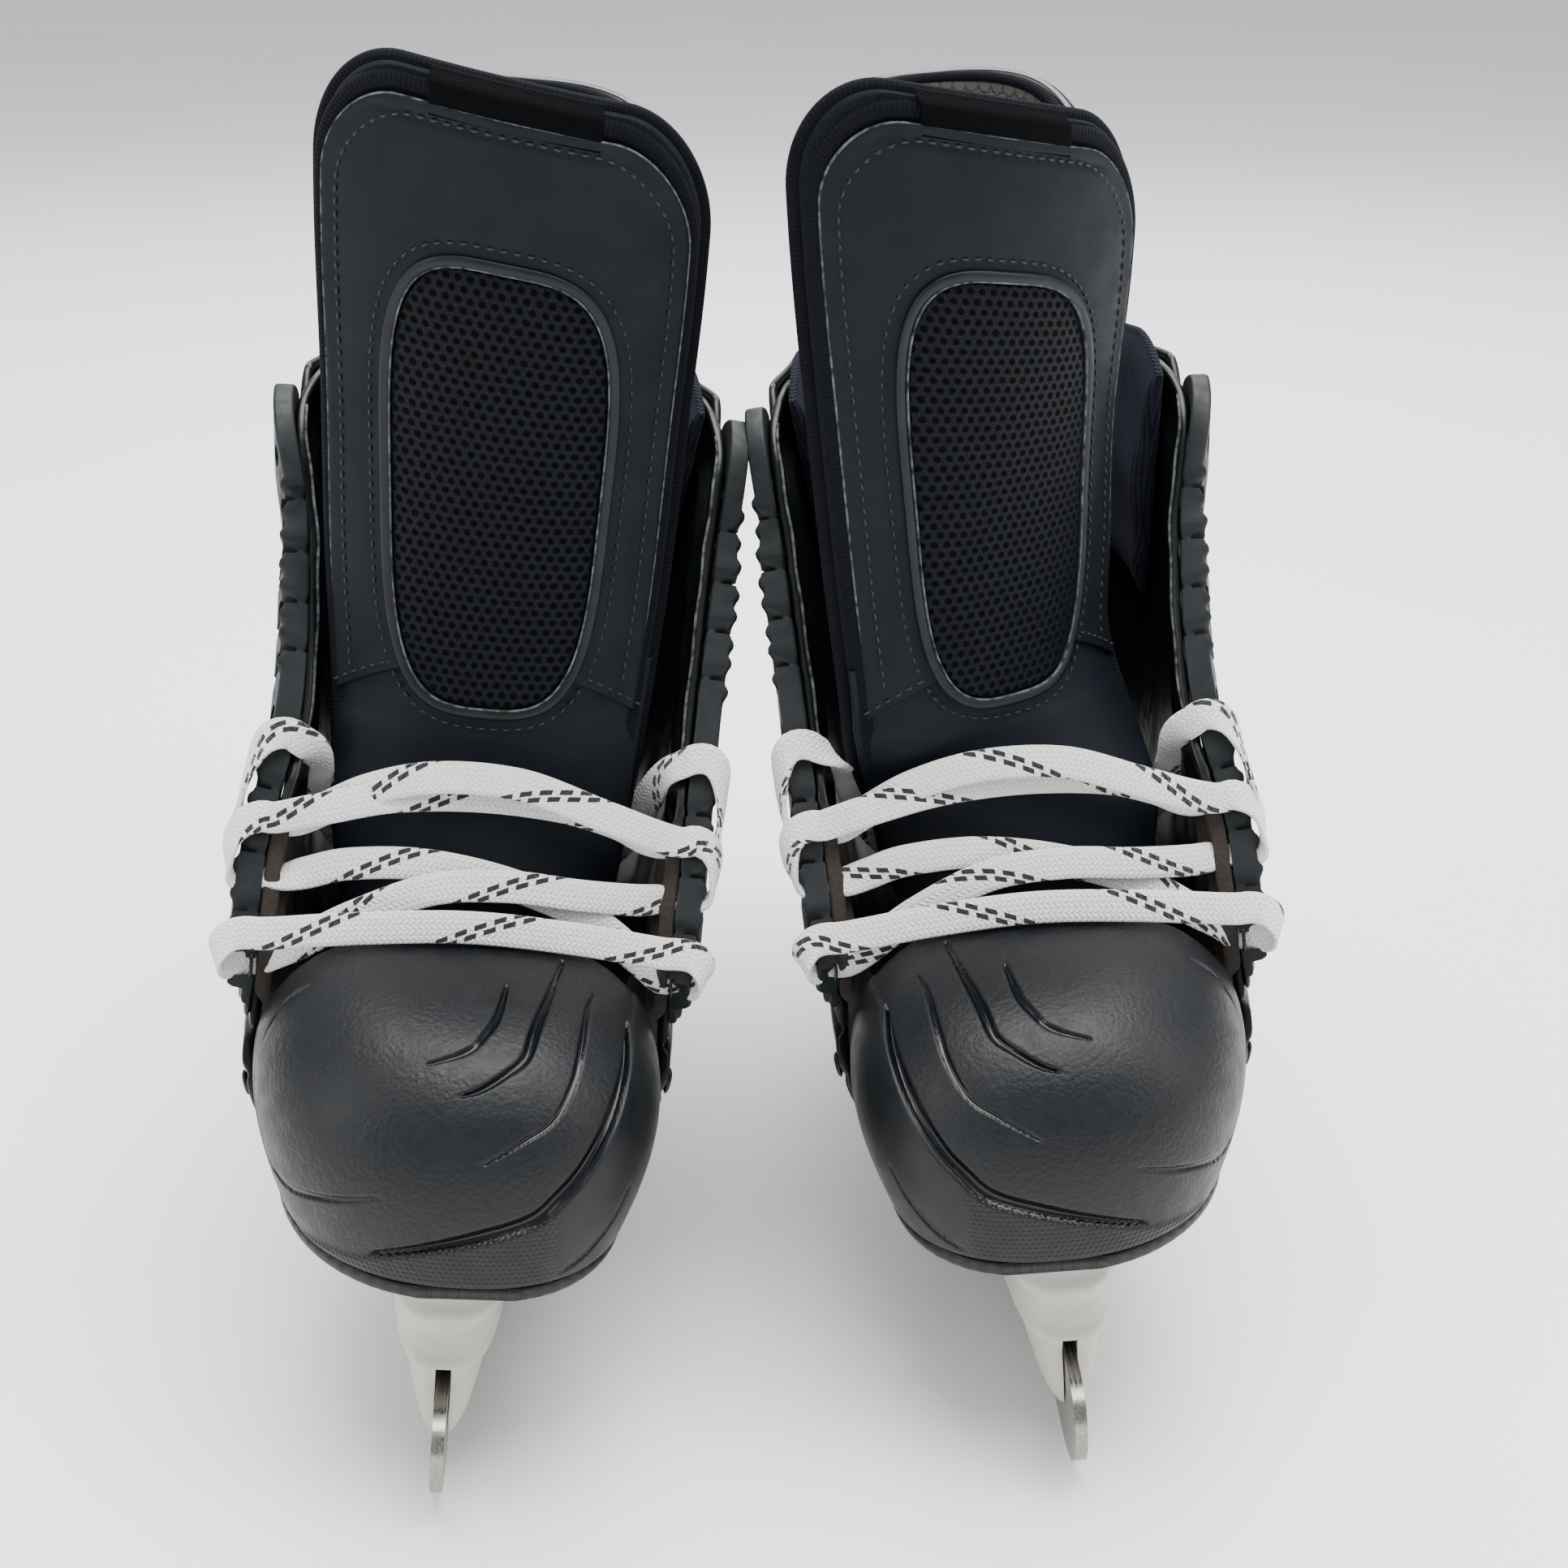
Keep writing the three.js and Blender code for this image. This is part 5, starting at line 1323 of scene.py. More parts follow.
def footprint(side):
    """The footprint's edge on one side (1 inner, -1 outer) from toe to heel."""
    toe = cap_point(side * np.linspace(0, 1, 40) * math.pi / 2, np.zeros(40))
    s = np.linspace(0, 0.5, 90)[1:]
    return np.concatenate([toe, skin(s if side > 0 else 1 - s, 0 * s)])


def sole_form(inset, bottom, top, radius):
    """A plate that follows the footprint, inset at its edge, between two heights."""
    us = (1 - np.cos(np.linspace(0, 1, 90) * math.pi)) / 2
    vs = spaced(90, 6, radius)
    edges = {side: footprint(side) for side in (1, -1)}

    def point(u, v, height):
        y = TOE_TIP + inset + 1 + (138 - inset - 1 - TOE_TIP - inset - 1) * u
        x = {k: np.interp(y, np.maximum.accumulate(e[:, 1]), e[:, 0]) - k * inset for k, e in edges.items()}
        half = np.maximum((x[1] - x[-1]) / 2, 0.8)
        return np.stack([(x[1] + x[-1]) / 2 + half * (2 * v - 1), y, sole_z(y) + height], -1)

    return layer(point, us, vs, top, bottom, radius, "bt")


class SKATES_OT_soles(bpy.types.Operator):
    """Makes the outsoles, the boards inside them and the footbeds"""

    bl_idname = "skates.soles"
    bl_label = "Soles and footbeds"

    def execute(self, context):
        for side in SIDES:
            skate = Skate(side)
            make(skate, "pressed_outsole", sole_form(0.6, 0, 3.6, 1.6), "sole_composite",
                 "sole", stands_for=("outsole",))
            make(skate, "insole_board", sole_form(5, 3.8, 6.3, 0.8), "sole_composite",
                 "sole", stands_for=("midsole",))
            make(skate, "cushioned_footbed", sole_form(9, 6.6, 11.4, 2.0), "footbed_foam",
                 "foam", stands_for=("footbed",))
        return {"FINISHED"}


def lining_top(s):
    """Where the lining ends: near the rim along the lower flaps, lower beside the eyelets."""
    near = np.minimum(s, 1 - s)
    flap = 1 - step(near, 0.1, 0.14)
    throat = throat_share(s)
    drop = (1.5 * flap + 5 * (1 - flap)) * throat + 1.5 * (1 - throat)
    return below(s, drop)


class SKATES_OT_lining(bpy.types.Operator):
    """Makes the boots' linings, whose suede shows on the lower flaps, with their cut edges"""

    bl_idname = "skates.lining"
    bl_label = "Linings"

    def execute(self, context):
        us, vs = 0.008 + 0.984 * spaced(550, 2.6, 1.5), spaced(130, 2.6, 1.5)

        def point(s, v, depth):
            height = 0.02 + (lining_top(s) - 0.02) * v
            # Above the shell's edge the lining spreads out against the eyestay.
            out = 2.6 * step(height, below(s, 12.5), below(s, 9)) * throat_share(s)
            ripple = 0.35 * np.sin(s * 190) * np.sin(v * 9)
            return upper(s, height, depth + out + ripple * (depth < -5))

        s, t = np.meshgrid(us, vs)
        near = np.minimum(s, 1 - s)
        suede = 1 - step(near + 0.05 * t, 0.135, 0.15)
        for side in SIDES:
            skate = Skate(side)
            form = layer(point, us, vs, -3.5, -3.5 - 2.8 - 1.2 * suede, 1.3)
            make(skate, "lining_panel", form, "boot_lining", "lining",
                 stands_for=("liner",), marks={"suede": suede})
            edges = []
            for k in (0, 1):
                at = np.linspace(0.12, 0.285, 90)
                at = at if k == 0 else 1 - at
                path = point(at, 0 * at + 1, -6.0)
                path = path + np.array([0, 0, 0.2])
                out = upper(at, 0 * at + 1, 1.0) - upper(at, 0 * at + 1, 0.0)
                edges.append(band(path, out, 0.9, 0.8, sides=8, power=1))
            make(skate, "lining_edge", joined(edges), "cut_edge", "lining")
        return {"FINISHED"}


class SKATES_OT_collar(bpy.types.Operator):
    """Makes the padded knit collars round the ankle"""

    bl_idname = "skates.collar"
    bl_label = "Ankle collars"

    def execute(self, context):
        us = 0.5 + 0.215 * (2 * spaced(300, 2.4, 2.0) - 1)
        vs = spaced(62, 2.0, 3.0, 7)

        def point(s, v, depth):
            lift = step(np.abs(s - 0.5), GUARD_REACH, GUARD_REACH + 0.05)
            ends = 1 - step(np.abs(s - 0.5), 0.17, 0.215)
            top = 0.985 + 0.055 * lift * (0.35 + 0.65 * ends)
            return upper(s, 0.62 + (top - 0.62) * v, depth)

        s, t = np.meshgrid(us, vs)
        quilt = 0.5 + 0.5 * np.cos((t - 0.5) * 2 * math.pi / 0.48)
        puff = 7.0 * np.sqrt(np.clip(4 * t * (1 - t), 0.08, 1)) * (0.78 + 0.22 * quilt)
        for side in SIDES:
            skate = Skate(side)
            form = layer(point, us, vs, -7.2, -7.4 - puff, 3.4)
            collar = make(skate, "padded_collar", form, "collar_knit", "knit",
                          stands_for=("ankle_collar",))
        return {"FINISHED"}


# Heights over the ice at which the throat's rubber is notched between its blocks.
NOTCHES = (212.5, 201, 190, 179.5, 150, 137, 124.5)


class SKATES_OT_eyestays(bpy.types.Operator):
    """Makes the stepped rubber eyestays with their eyelets"""

    bl_idname = "skates.eyestays"
    bl_label = "Eyestays"

    def execute(self, context):
        us = 0.006 + 0.294 * spaced(205, 0.75, 0.8, 3)
        vs = spaced(22, 0.9, 0.9, 4)
        s, t = np.meshgrid(us, vs)
        rim = skin(s, 0 * s + 1)[..., 2]
        block = np.ones(s.shape)
        lip = np.zeros(s.shape)
        for z in NOTCHES:
            block *= np.clip((np.abs(rim - z) - 0.8) / 0.7, 0, 1)
            beads = [np.exp(-(((rim - z + away) / 0.9) ** 2)) for away in (3.2, -3.2)]
            lip = np.maximum(lip, sum(beads))
        tall = step(t, 0.32, 0.42)
        # Below the top block, where the two skates don't touch, the blocks stand out further.
        stout = 1.3 * (1 - step(rim, 200, 212))
        outer = 2.0 + (2.4 + stout) * block * tall + 1.1 * lip * step(t, 0.84, 0.93)
        gap_depth = 0.35 * (1 - block)

        def width(a):
            # Narrow at the toe end, where it is sewn down beside the cap.
            return (EYESTAY_WIDTH + 5 * step(a, 0.2, 0.29)) * (0.5 + 0.5 * step(a, 0.004, 0.035))

        def rise(a, b):
            mask = np.interp(a, us, block[0])
            crest = np.clip((0.3 - a) / 0.014, 0, 1) ** 0.5
            top = below(a, 1.6 * (1 - mask) + 7 * (1 - crest))
            low = below(a, width(a))
            return low + (top - low) * b

        for side in SIDES:
            skate = Skate(side)
            for flank, node in ((1, "inner"), (-1, "outer")):
                where = (lambda a: a) if flank > 0 else (lambda a: 1 - a)
                form = layer(
                    lambda a, b, d: upper(where(a), rise(a, b), d), us, vs, outer, -0.6 + gap_depth, 0.85)
                stay = make(skate, f"eyestay_{node}_rubber", form, "rubbery_plastic", "eyestay",
                            stands_for=(f"eyestay_{node}",))
                low, out = eyelet_places(flank)
                drills = []
                for at, n in zip(low, out):
                    spine = at + np.outer(np.linspace(-3, 9, 4), n)
                    drills.append(band(spine, np.tile((0, 0.3, 1.0), (4, 1)), 4.2, 5.6, sides=16, power=1))
                drill = make(skate, f"drill_{node}", joined(drills), "eyelet_hole", "eyestay")
                settled(stay, ("BOOLEAN", {"operation": "DIFFERENCE", "solver": "EXACT", "object": drill}))
                bpy.data.objects.remove(drill)
                stay.data.set_sharp_from_angle(angle=math.radians(42))
                cuffs = []
                for at, n in zip(low, out):
                    turn = np.linspace(0, 2 * math.pi, 25)[:-1]
                    up = unit(np.array([0, 0.3, 1.0]) - n * (n @ np.array([0, 0.3, 1.0])))
                    across = np.cross(n, up)
                    round_it = np.outer(2.3 * np.cos(turn), across) + np.outer(3.0 * np.sin(turn), up)
                    ring = at + 0.55 * n + round_it
                    cuffs.append(band(ring, np.tile(n, (24, 1)), 0.8, 0.9, sides=8, power=1, closed=True))
                make(skate, f"eyelet_cuffs_{node}", joined(cuffs), "eyelet_hole", "eyestay")
        return {"FINISHED"}


# ==== The tongue ============================================================================

SAMPLES = np.linspace(0, 1, 500)
TONGUE_RUN = run(np.stack(tongue_line(SAMPLES), -1), 0)
TONGUE_LENGTH = TONGUE_RUN[-1]
SEAM_AT = float(np.interp(SEAM, SAMPLES, TONGUE_RUN))
FACE_GAPS = (3.6, 2.0, 7.0)  # binding showing on the inner side, the outer side and the top
PAD_MIDDLE = 111.0  # up the tongue from its foot
PAD_HALF = (24.6, 54.0)
PAD_TAPER = 0.034  # how much wider the pad grows for each millimetre up it
PAD_ROUND = 3.7


def share_at(s):
    return np.interp(s, TONGUE_RUN, SAMPLES)


def tongue_half(s):
    """Half the tongue's width at a distance up it."""
    return tongue_width(share_at(s))


def on_tongue(x, s, depth, pose):
    """A point x across and s up the tongue's face, in millimetres along the surface."""
    x, s = np.broadcast_arrays(np.asarray(x, float), np.asarray(s, float))
    extra = np.maximum(s - TONGUE_LENGTH, 0)
    s = np.minimum(s, TONGUE_LENGTH)
    p = tongue_point(share_at(s), x / tongue_half(s), depth, pose)
    p[..., 2] += extra
    return p


def outline(s, inner, outer, top):
    """The left and right edges of a layer of the tongue drawn in by these margins."""
    lifted = np.minimum(s + top * step(s, TONGUE_LENGTH - 50, TONGUE_LENGTH - top), TONGUE_LENGTH)
    half = tongue_half(lifted)
    return -half + outer, half - inner


def tongue_layer(pose, low, margins, front, back, radius):
    """A layer of the tongue from a height up to its top, drawn in by margins."""
    inner, outer, top = margins
    us, vs = spaced(84, 2.0, radius, 6), spaced(TONGUE_LENGTH - low, 2.0, radius, 6)
    vs = np.unique(np.concatenate([vs, 1 - 0.12 * np.linspace(0, 1, 24) ** 2]))

    def point(u, v, depth):
        s0 = low + (TONGUE_LENGTH - top - low) * v
        left, right = outline(s0, inner, outer, top)
        x = left + (right - left) * u
        return on_tongue(x, s0, depth, pose)

    return layer(point, us, vs, front, back, radius)


def face_dip(x, s):
    """How far the leather is drawn down beside its stitches."""
    left, right = outline(s, *FACE_GAPS)
    edge = np.minimum(np.minimum(x - left, right - x), TONGUE_LENGTH - FACE_GAPS[2] - s)
    pad = pad_distance(x, s)
    return 0.4 * np.exp(-(((edge - 3.4) / 1.3) ** 2)) + 0.4 * np.exp(-(((pad - 5.2) / 1.3) ** 2))


def pad_distance(x, s):
    """Distance in millimetres outside the mesh pad's edge, negative inside it."""
    a, b = PAD_HALF
    a = a + PAD_TAPER * (s - PAD_MIDDLE)
    power = PAD_ROUND
    reach = (np.abs(x / a) ** power + np.abs((s - PAD_MIDDLE) / b) ** power) ** (1 / power)
    size = np.hypot(x, s - PAD_MIDDLE) / np.maximum(reach, 1e-6)
    return (reach - 1) * size


def pad_ring(offset, count=240):
    """Points round the mesh pad, moved out by an offset, as x and s."""
    a, b = PAD_HALF
    power = 2 / PAD_ROUND
    turn = np.linspace(0, 2 * math.pi, 4 * count)
    x = a * np.sign(np.cos(turn)) * np.abs(np.cos(turn)) ** power
    s = b * np.sign(np.sin(turn)) * np.abs(np.sin(turn)) ** power
    x = x * (1 + PAD_TAPER * s / a)
    line = np.stack([x, s], -1)
    gone = run(line, 0)
    even = np.linspace(0, gone[-1], count + 1)[:-1]
    line = np.stack([np.interp(even, gone, line[:, k]) for k in (0, 1)], -1)
    tangent = unit(np.roll(line, -1, 0) - np.roll(line, 1, 0))
    line = line + offset * np.stack([tangent[:, 1], -tangent[:, 0]], -1)
    return line[:, 0], line[:, 1] + PAD_MIDDLE


def seam_drop(x):
    """How far the upper leather's lower edge sinks towards the tongue's sides."""
    return 4 - 13 * np.clip(np.abs(x) / 38, 0, 1.1) ** 2.2


def tongue_normal(x, s, pose):
    return unit(on_tongue(x, s, 1.0, pose) - on_tongue(x, s, 0.0, pose))


def edge_path(margins, low, count, pitch):
    """A line drawn in by margins: up the outer side, over the top and down the inner side."""
    inner, outer, top = margins
    s = TONGUE_LENGTH - top - (TONGUE_LENGTH - top - low) * np.linspace(1, 0, count) ** 2
    left, right = outline(s, inner, outer, top)
    across = np.linspace(left[-1], right[-1], 40)[1:-1]
    x = np.concatenate([left, across, right[::-1]])
    s = np.concatenate([s, 0 * across + s[-1], s[::-1]])
    return curve_through(np.stack([x, s, 0 * x], -1)[::2], pitch)[:, :2].T


def face_path(extra, low):
    """A line inside the edge of the tongue's face."""
    return edge_path([g + extra for g in FACE_GAPS], low, 160, 1.5)


class SKATES_OT_tongue(bpy.types.Operator):
    """Makes the tongues: felt and knit binding, leather in two lengths, mesh pad, stitches, tag"""

    bl_idname = "skates.tongue"
    bl_label = "Tongues"

    def execute(self, context):
        pitch = context.scene.skate_sizes.stitch_pitch * 1000
        for side in SIDES:
            skate = Skate(side)
            pose = skate.pose
            start, end = (skate.world(on_tongue(0, SEAM_AT + k, -3.0, pose)) for k in (-18, 8))
            hinge = (skate.body("boot"), skate.body("upper_tongue"), tuple(start), tuple(end))

            def place(name, form, material, slot, nodes=()):
                return make(skate, name, form, material, slot, across=hinge, stands_for=nodes)

            felt = place("tongue_felt_core", tongue_layer(pose, 1.0, (1.4, 1.4, 1.4), -1.8, -5.4, 1.6),
                         "felt_core", "felt", ("tongue_felt",))
            for name, grow, low, depth in (("front", 2.6, SEAM_AT - 26, -2.6), ("back", 0.0, 2.0, -6.0)):
                margins = (grow + 1.5, max(grow - 1.6, 0) + 1.5, grow + 1.8)
                x, s = edge_path(margins, low, 170, 1.6)
                path = on_tongue(x, s, depth, pose)
                normal = tongue_normal(x, s, pose)
                place(f"binding_{name}", band(path, normal, 4.6, 3.4, sides=18, power=0.9),
                      "knit_binding", "felt")
            # Sewn to the boot below the seam, the lower leather slides under the upper.
            us, vs = spaced(74, 2.2, 0.7, 4), spaced(SEAM_AT + 6, 2.2, 0.7, 4)

            def lower(u, v, depth):
                s = 0.6 + (SEAM_AT + 5) * v
                left, right = outline(s, 0.6, 0.6, 0)
                x = left + (right - left) * u
                tuck = 1.25 * step(s - SEAM_AT - seam_drop(x), -11, -1)
                return on_tongue(x, s, depth - tuck - face_dip(x * 0.2, s) * (s > PAD_MIDDLE - 70), pose)

            place("tongue_lower_leather", layer(lower, us, vs, 0.0, -1.3, 0.6), "coated_microfibre",
                  "leather", ("tongue_lower",))

            # One piece from the seam to the top, with its lower edge sinking at the sides.
            us, vs = spaced(80, 1.4, 0.8, 4), spaced(TONGUE_LENGTH - SEAM_AT, 1.4, 0.8, 4)
            vs = np.unique(np.concatenate([vs, 1 - 0.14 * np.linspace(0, 1, 28) ** 2]))
            low = SEAM_AT

            def face(u, v, depth):
                s = low + (TONGUE_LENGTH - FACE_GAPS[2] - low) * v
                left, right = outline(s, *FACE_GAPS)
                x = left + (right - left) * u
                s = s + seam_drop(x) * (1 - v) ** 3
                ease = 0.35 * np.exp(-(((s - low - seam_drop(x)) / 5) ** 2))
                swell_out = 0.7 * np.clip(1 - (x / 40) ** 2, 0, 1) * step(s, low, low + 30)
                return on_tongue(x, s, depth + ease + swell_out * 0.6 - face_dip(x, s), pose)

            place("tongue_face_leather", layer(face, us, vs, 0.0, -1.5, 0.8), "coated_microfibre",
                  "leather", ("tongue_face",))

            def lifted(x, s, height):
                out = 0.42 * np.clip(1 - (x / 40) ** 2, 0, 1) * step(s, low, low + 30)
                return on_tongue(x, s, height + out, pose)

            x, s = face_path(0.0, SEAM_AT - 6)
            normal = tongue_normal(x, s, pose)
            place("tongue_cut_edge", band(lifted(x, s, -0.6), normal, 0.55, 0.9, sides=8, power=1),
                  "cut_edge", "leather")
            x, s = face_path(3.4, SEAM_AT - 3)
            normal = tongue_normal(x, s, pose)
            threads = [stitches(lifted(x, s, -0.18), normal, pitch)]
            x = np.linspace(-39, 39, 120)
            s = SEAM_AT + seam_drop(x) + 2.6
            keep = pad_distance(x, s) > 6
            for half in (x < 0, x > 0):
                xs, ss = x[half & keep], s[half & keep]
                threads.append(stitches(on_tongue(xs, ss, 0.3, pose), tongue_normal(xs, ss, pose), pitch))
            ring_x, ring_s = pad_ring(5.2)
            ring_x, ring_s = np.append(ring_x, ring_x[0]), np.append(ring_s, ring_s[0])
            normal = tongue_normal(ring_x, ring_s, pose)
            threads.append(stitches(lifted(ring_x, ring_s, -0.18), normal, pitch))
            place("tongue_stitches", joined(threads), "thread", "leather")

            # The mesh pad is let into a window whose edge is piped.
            rings = 1 - np.cumsum(np.linspace(0.3, 1, 26)) / np.sum(np.linspace(0.3, 1, 26))
            rings = np.concatenate([[1.0], rings])
            ring_x, ring_s = pad_ring(0.0, 150)
            grow = rings[:, None]
            px = ring_x[None] * grow
            ps = PAD_MIDDLE + (ring_s[None] - PAD_MIDDLE) * grow
            puff = np.clip(1 - grow**5, 0, 1) ** 0.6 * 1.5 + 0 * px
            top = lifted(px, ps, 0.1 + puff)
            bottom = lifted(px, ps, -0.6 + 0 * px)
            top, bottom = (np.concatenate([g, g[:, :1]], 1) for g in (top, bottom))
            points, faces, _ = slab(top, bottom)
            flat = np.stack([np.append(g, g[:, :1], 1) for g in (px, ps)], -1).reshape(-1, 2) / 1000
            pad = place("tongue_spacer_mesh", (points, faces, np.concatenate([flat, flat])),
                        "spacer_mesh", "mesh", ("tongue_mesh_pad",))
            for name, offset, height, wide, thick, material in (
                    ("pad_piping", 1.3, 0.5, 3.0, 1.5, "leather_piping"),
                    ("pad_cut_edge", 0.2, 0.9, 0.5, 0.7, "cut_edge")):
                x, s = pad_ring(offset)
                normal = tongue_normal(x, s, pose)
                form = band(lifted(x, s, height), normal, wide, thick, sides=12, power=0.9, closed=True)
                place(name, form, material, "leather")

            # The woven tag folds over the top edge.
            us, vs = spaced(37, 1.2, 0.4, 3), spaced(11, 0.8, 0.4, 3)

            def tag(u, v, depth):
                x = -17.5 + 37 * u
                s = TONGUE_LENGTH - 9.4 + 9.6 * v
                fold = 3.0 * step(v, 0.72, 1.02)
                return on_tongue(x, s, depth - 0.15 - fold - 0.15 * np.sin(v * 8), pose)

            place("tongue_tag", layer(tag, us, vs, 0.45, -0.25, 0.3), "woven_label", "label",
                  ("tongue_label",))
        return {"FINISHED"}


# ==== The tendon guard ======================================================================

class SKATES_OT_guard(bpy.types.Operator):
    """Makes the tendon guards, their gussets, embossed linings and the tape that binds them"""

    bl_idname = "skates.guard"
    bl_label = "Tendon guards"

    def execute(self, context):
        us, vs = 2 * spaced(110, 1.6, 1.3, 5) - 1, spaced(66, 1.6, 1.3, 5)
        a, h = np.meshgrid(us, vs)
        edge = np.minimum((1 - np.abs(a)) * 52, (1 - h) * 62)
        raised = 0.8 * (1 - step(edge, 4.5, 6)) + 0.5 * np.exp(-(((edge - 14) / 1.0) ** 2))
        flute = 0.5 * np.cos(a * 9) * step(edge, 14, 20)
        for side in SIDES:
            skate = Skate(side)
            shell_form = layer(guard_point, us, vs, -0.9 + raised + flute * 0.4, -3.0, 1.3)
            make(skate, "guard_moulding", shell_form, "guard_plastic", "guard",
                 body="tendon_guard_body", stands_for=("tendon_guard",))
            # The gusset closes the gap under the guard.
            rim = guard_point(np.array([-1.0, 0.0, 1.0]), 0, -3.7)
            lift = unit(np.cross(rim[2] - rim[0], rim[1] - rim[0]))
            lift *= np.sign(lift[2])
            bend = skate.world(np.stack([rim[1] - 5.0 * lift, rim[1] - 2.0 * lift]))
            hem = layer(guard_point, us * 0.98, np.linspace(-0.08, 0.004, 9), -3.1, -3.9, 0.3)
            across = (skate.body("boot"), skate.body("tendon_guard_body"), *bend.tolist())
            make(skate, "guard_gusset", hem, "knit_binding", "felt", across=across)
            crown = np.sqrt(np.clip(4 * h * (1 - h), 0.1, 1)) * np.sqrt(np.clip(1 - a**2, 0.1, 1))
            inner = layer(lambda p, q, d: guard_point(p * 0.93, q * 0.94 + 0.01, d), us, vs, -3.2,
                          -5.6 - 1.6 * crown, 1.6)
            lining = make(skate, "guard_padding", inner, "honeycomb_lining", "lining",
                          body="tendon_guard_body", stands_for=("tendon_guard_lining",))
            rise = np.linspace(0.3, 1, 30)
            turn = np.linspace(-1, 1, 70)[1:-1]
            path_a = np.concatenate([-1 + 0 * rise, turn, 1 + 0 * rise]) * 0.945
            path_h = np.concatenate([rise, 1 + 0 * turn, rise[::-1]]) * 0.955
            flat = curve_through(np.stack([path_a * 50, path_h * 60, 0 * path_a], -1), 1.5)
            path = guard_point(flat[:, 0] / 50, flat[:, 1] / 60, -4.9 + 0 * flat[:, 0])
            out = unit(guard_point(flat[:, 0] / 50, flat[:, 1] / 60, -3.9 + 0 * flat[:, 0]) - path)
            make(skate, "guard_binding", band(path, out, 3.4, 3.6, sides=14, power=0.9),
                 "knit_binding", "felt", body="tendon_guard_body")
        return {"FINISHED"}


# ==== The holder and the runner =============================================================

TOWER_FOOT = 20.0
TOWER_TOP = 58.0
RUNNER_THICK = 3.0
SLOT_HALF = RUNNER_THICK / 2 + 0.35


def level_ring(y0, y1, half, z, power):
    """A rounded rectangle seen from above, with its height z as a function of y."""
    turn = np.linspace(0, 2 * math.pi, 73)[:-1]
    c, s = np.cos(turn), np.sin(turn)
    x = half * np.sign(c) * np.abs(c) ** power
    y = (y0 + y1) / 2 + (y1 - y0) / 2 * np.sign(s) * np.abs(s) ** power
    return np.stack([x, y, z(y)], -1)


def under_sole(drop):
    """The height of a level below the outsole's underside, as a function of y."""
    return lambda y: sole_z(y) - drop


def dipped(z, sag, nose):
    """A height that sinks towards a tower's nose, as a function of y."""
    return lambda y: z - sag * np.exp(-(((y - nose) / 16) ** 2))


def tower_form(foot, neck, ridges, flange, flange_half, reach=0.0):
    """A tower of the holder with soft ridges round it, and the flange that it carries."""
    rings = []
    for k in np.linspace(0, 1, 40):
        z = TOWER_FOOT + (TOWER_TOP - TOWER_FOOT) * k
        y0 = foot[0] + (neck[0] - foot[0]) * k
        y1 = foot[1] + (neck[1] - foot[1]) * k
        half = 7.3 + 10.1 * k**0.85
        wave = sum(
            1.5 * math.exp(-(((z - r) / 2.0) ** 2)) - 0.6 * math.exp(-(((z - r + 4) / 2.0) ** 2))
            for r in ridges)
        tuck = 1.6 * (1 - min(1, k / 0.12)) ** 2
        # The ridges dip in the middle of the nose, and its foot reaches down over the runner.
        sag = 2.2 * math.exp(-(((z - 45) / 16) ** 2)) + reach * (1 - k) ** 2
        rings.append(level_ring(
            y0 - wave + tuck, y1 + wave - tuck, half + wave - tuck * 0.9,
            dipped(z, sag, foot[0]), 0.72))
    rings += [level_ring(neck[0], neck[1], 17.3, under_sole(d), 0.62) for d in (2.0, 0.8)]
    flange_rings = [
        level_ring(flange[0] + i, flange[1] - i, flange_half - i, under_sole(d), 0.6)
        for i, d in ((1.0, 3.5), (0.2, 3.0), (0.0, 1.8), (0.6, 0.5))
    ]
    return [loft(rings), loft(flange_rings)]


def bridge_form():
    """The bar that joins the towers over the runner."""
    rings = []
    for y in np.linspace(-66, 74, 40):
        lift = 7 * ((y - 4) / 68) ** 4
        width = 6.4 + 0.8 * (abs(y - 4) / 68) ** 4
        turn = np.linspace(0, 2 * math.pi, 33)[:-1]
        c, s = np.cos(turn), np.sin(turn)
        x = width * np.sign(c) * np.abs(c) ** 0.6
        z = (20.3 + 36.8 + lift) / 2 + (36.8 + lift - 20.3) / 2 * np.sign(s) * np.abs(s) ** 0.6
        rings.append(np.stack([x, y + 0 * x, z], -1))
    return loft(rings)


def brick(x, y0, y1, z0, z1):
    """A block centred on x = 0, for cutting a pocket."""
    ring = np.array([(-x, y0), (x, y0), (x, y1), (-x, y1)])
    return loft([np.c_[ring, np.full(4, z)] for z in (z0, z1)])


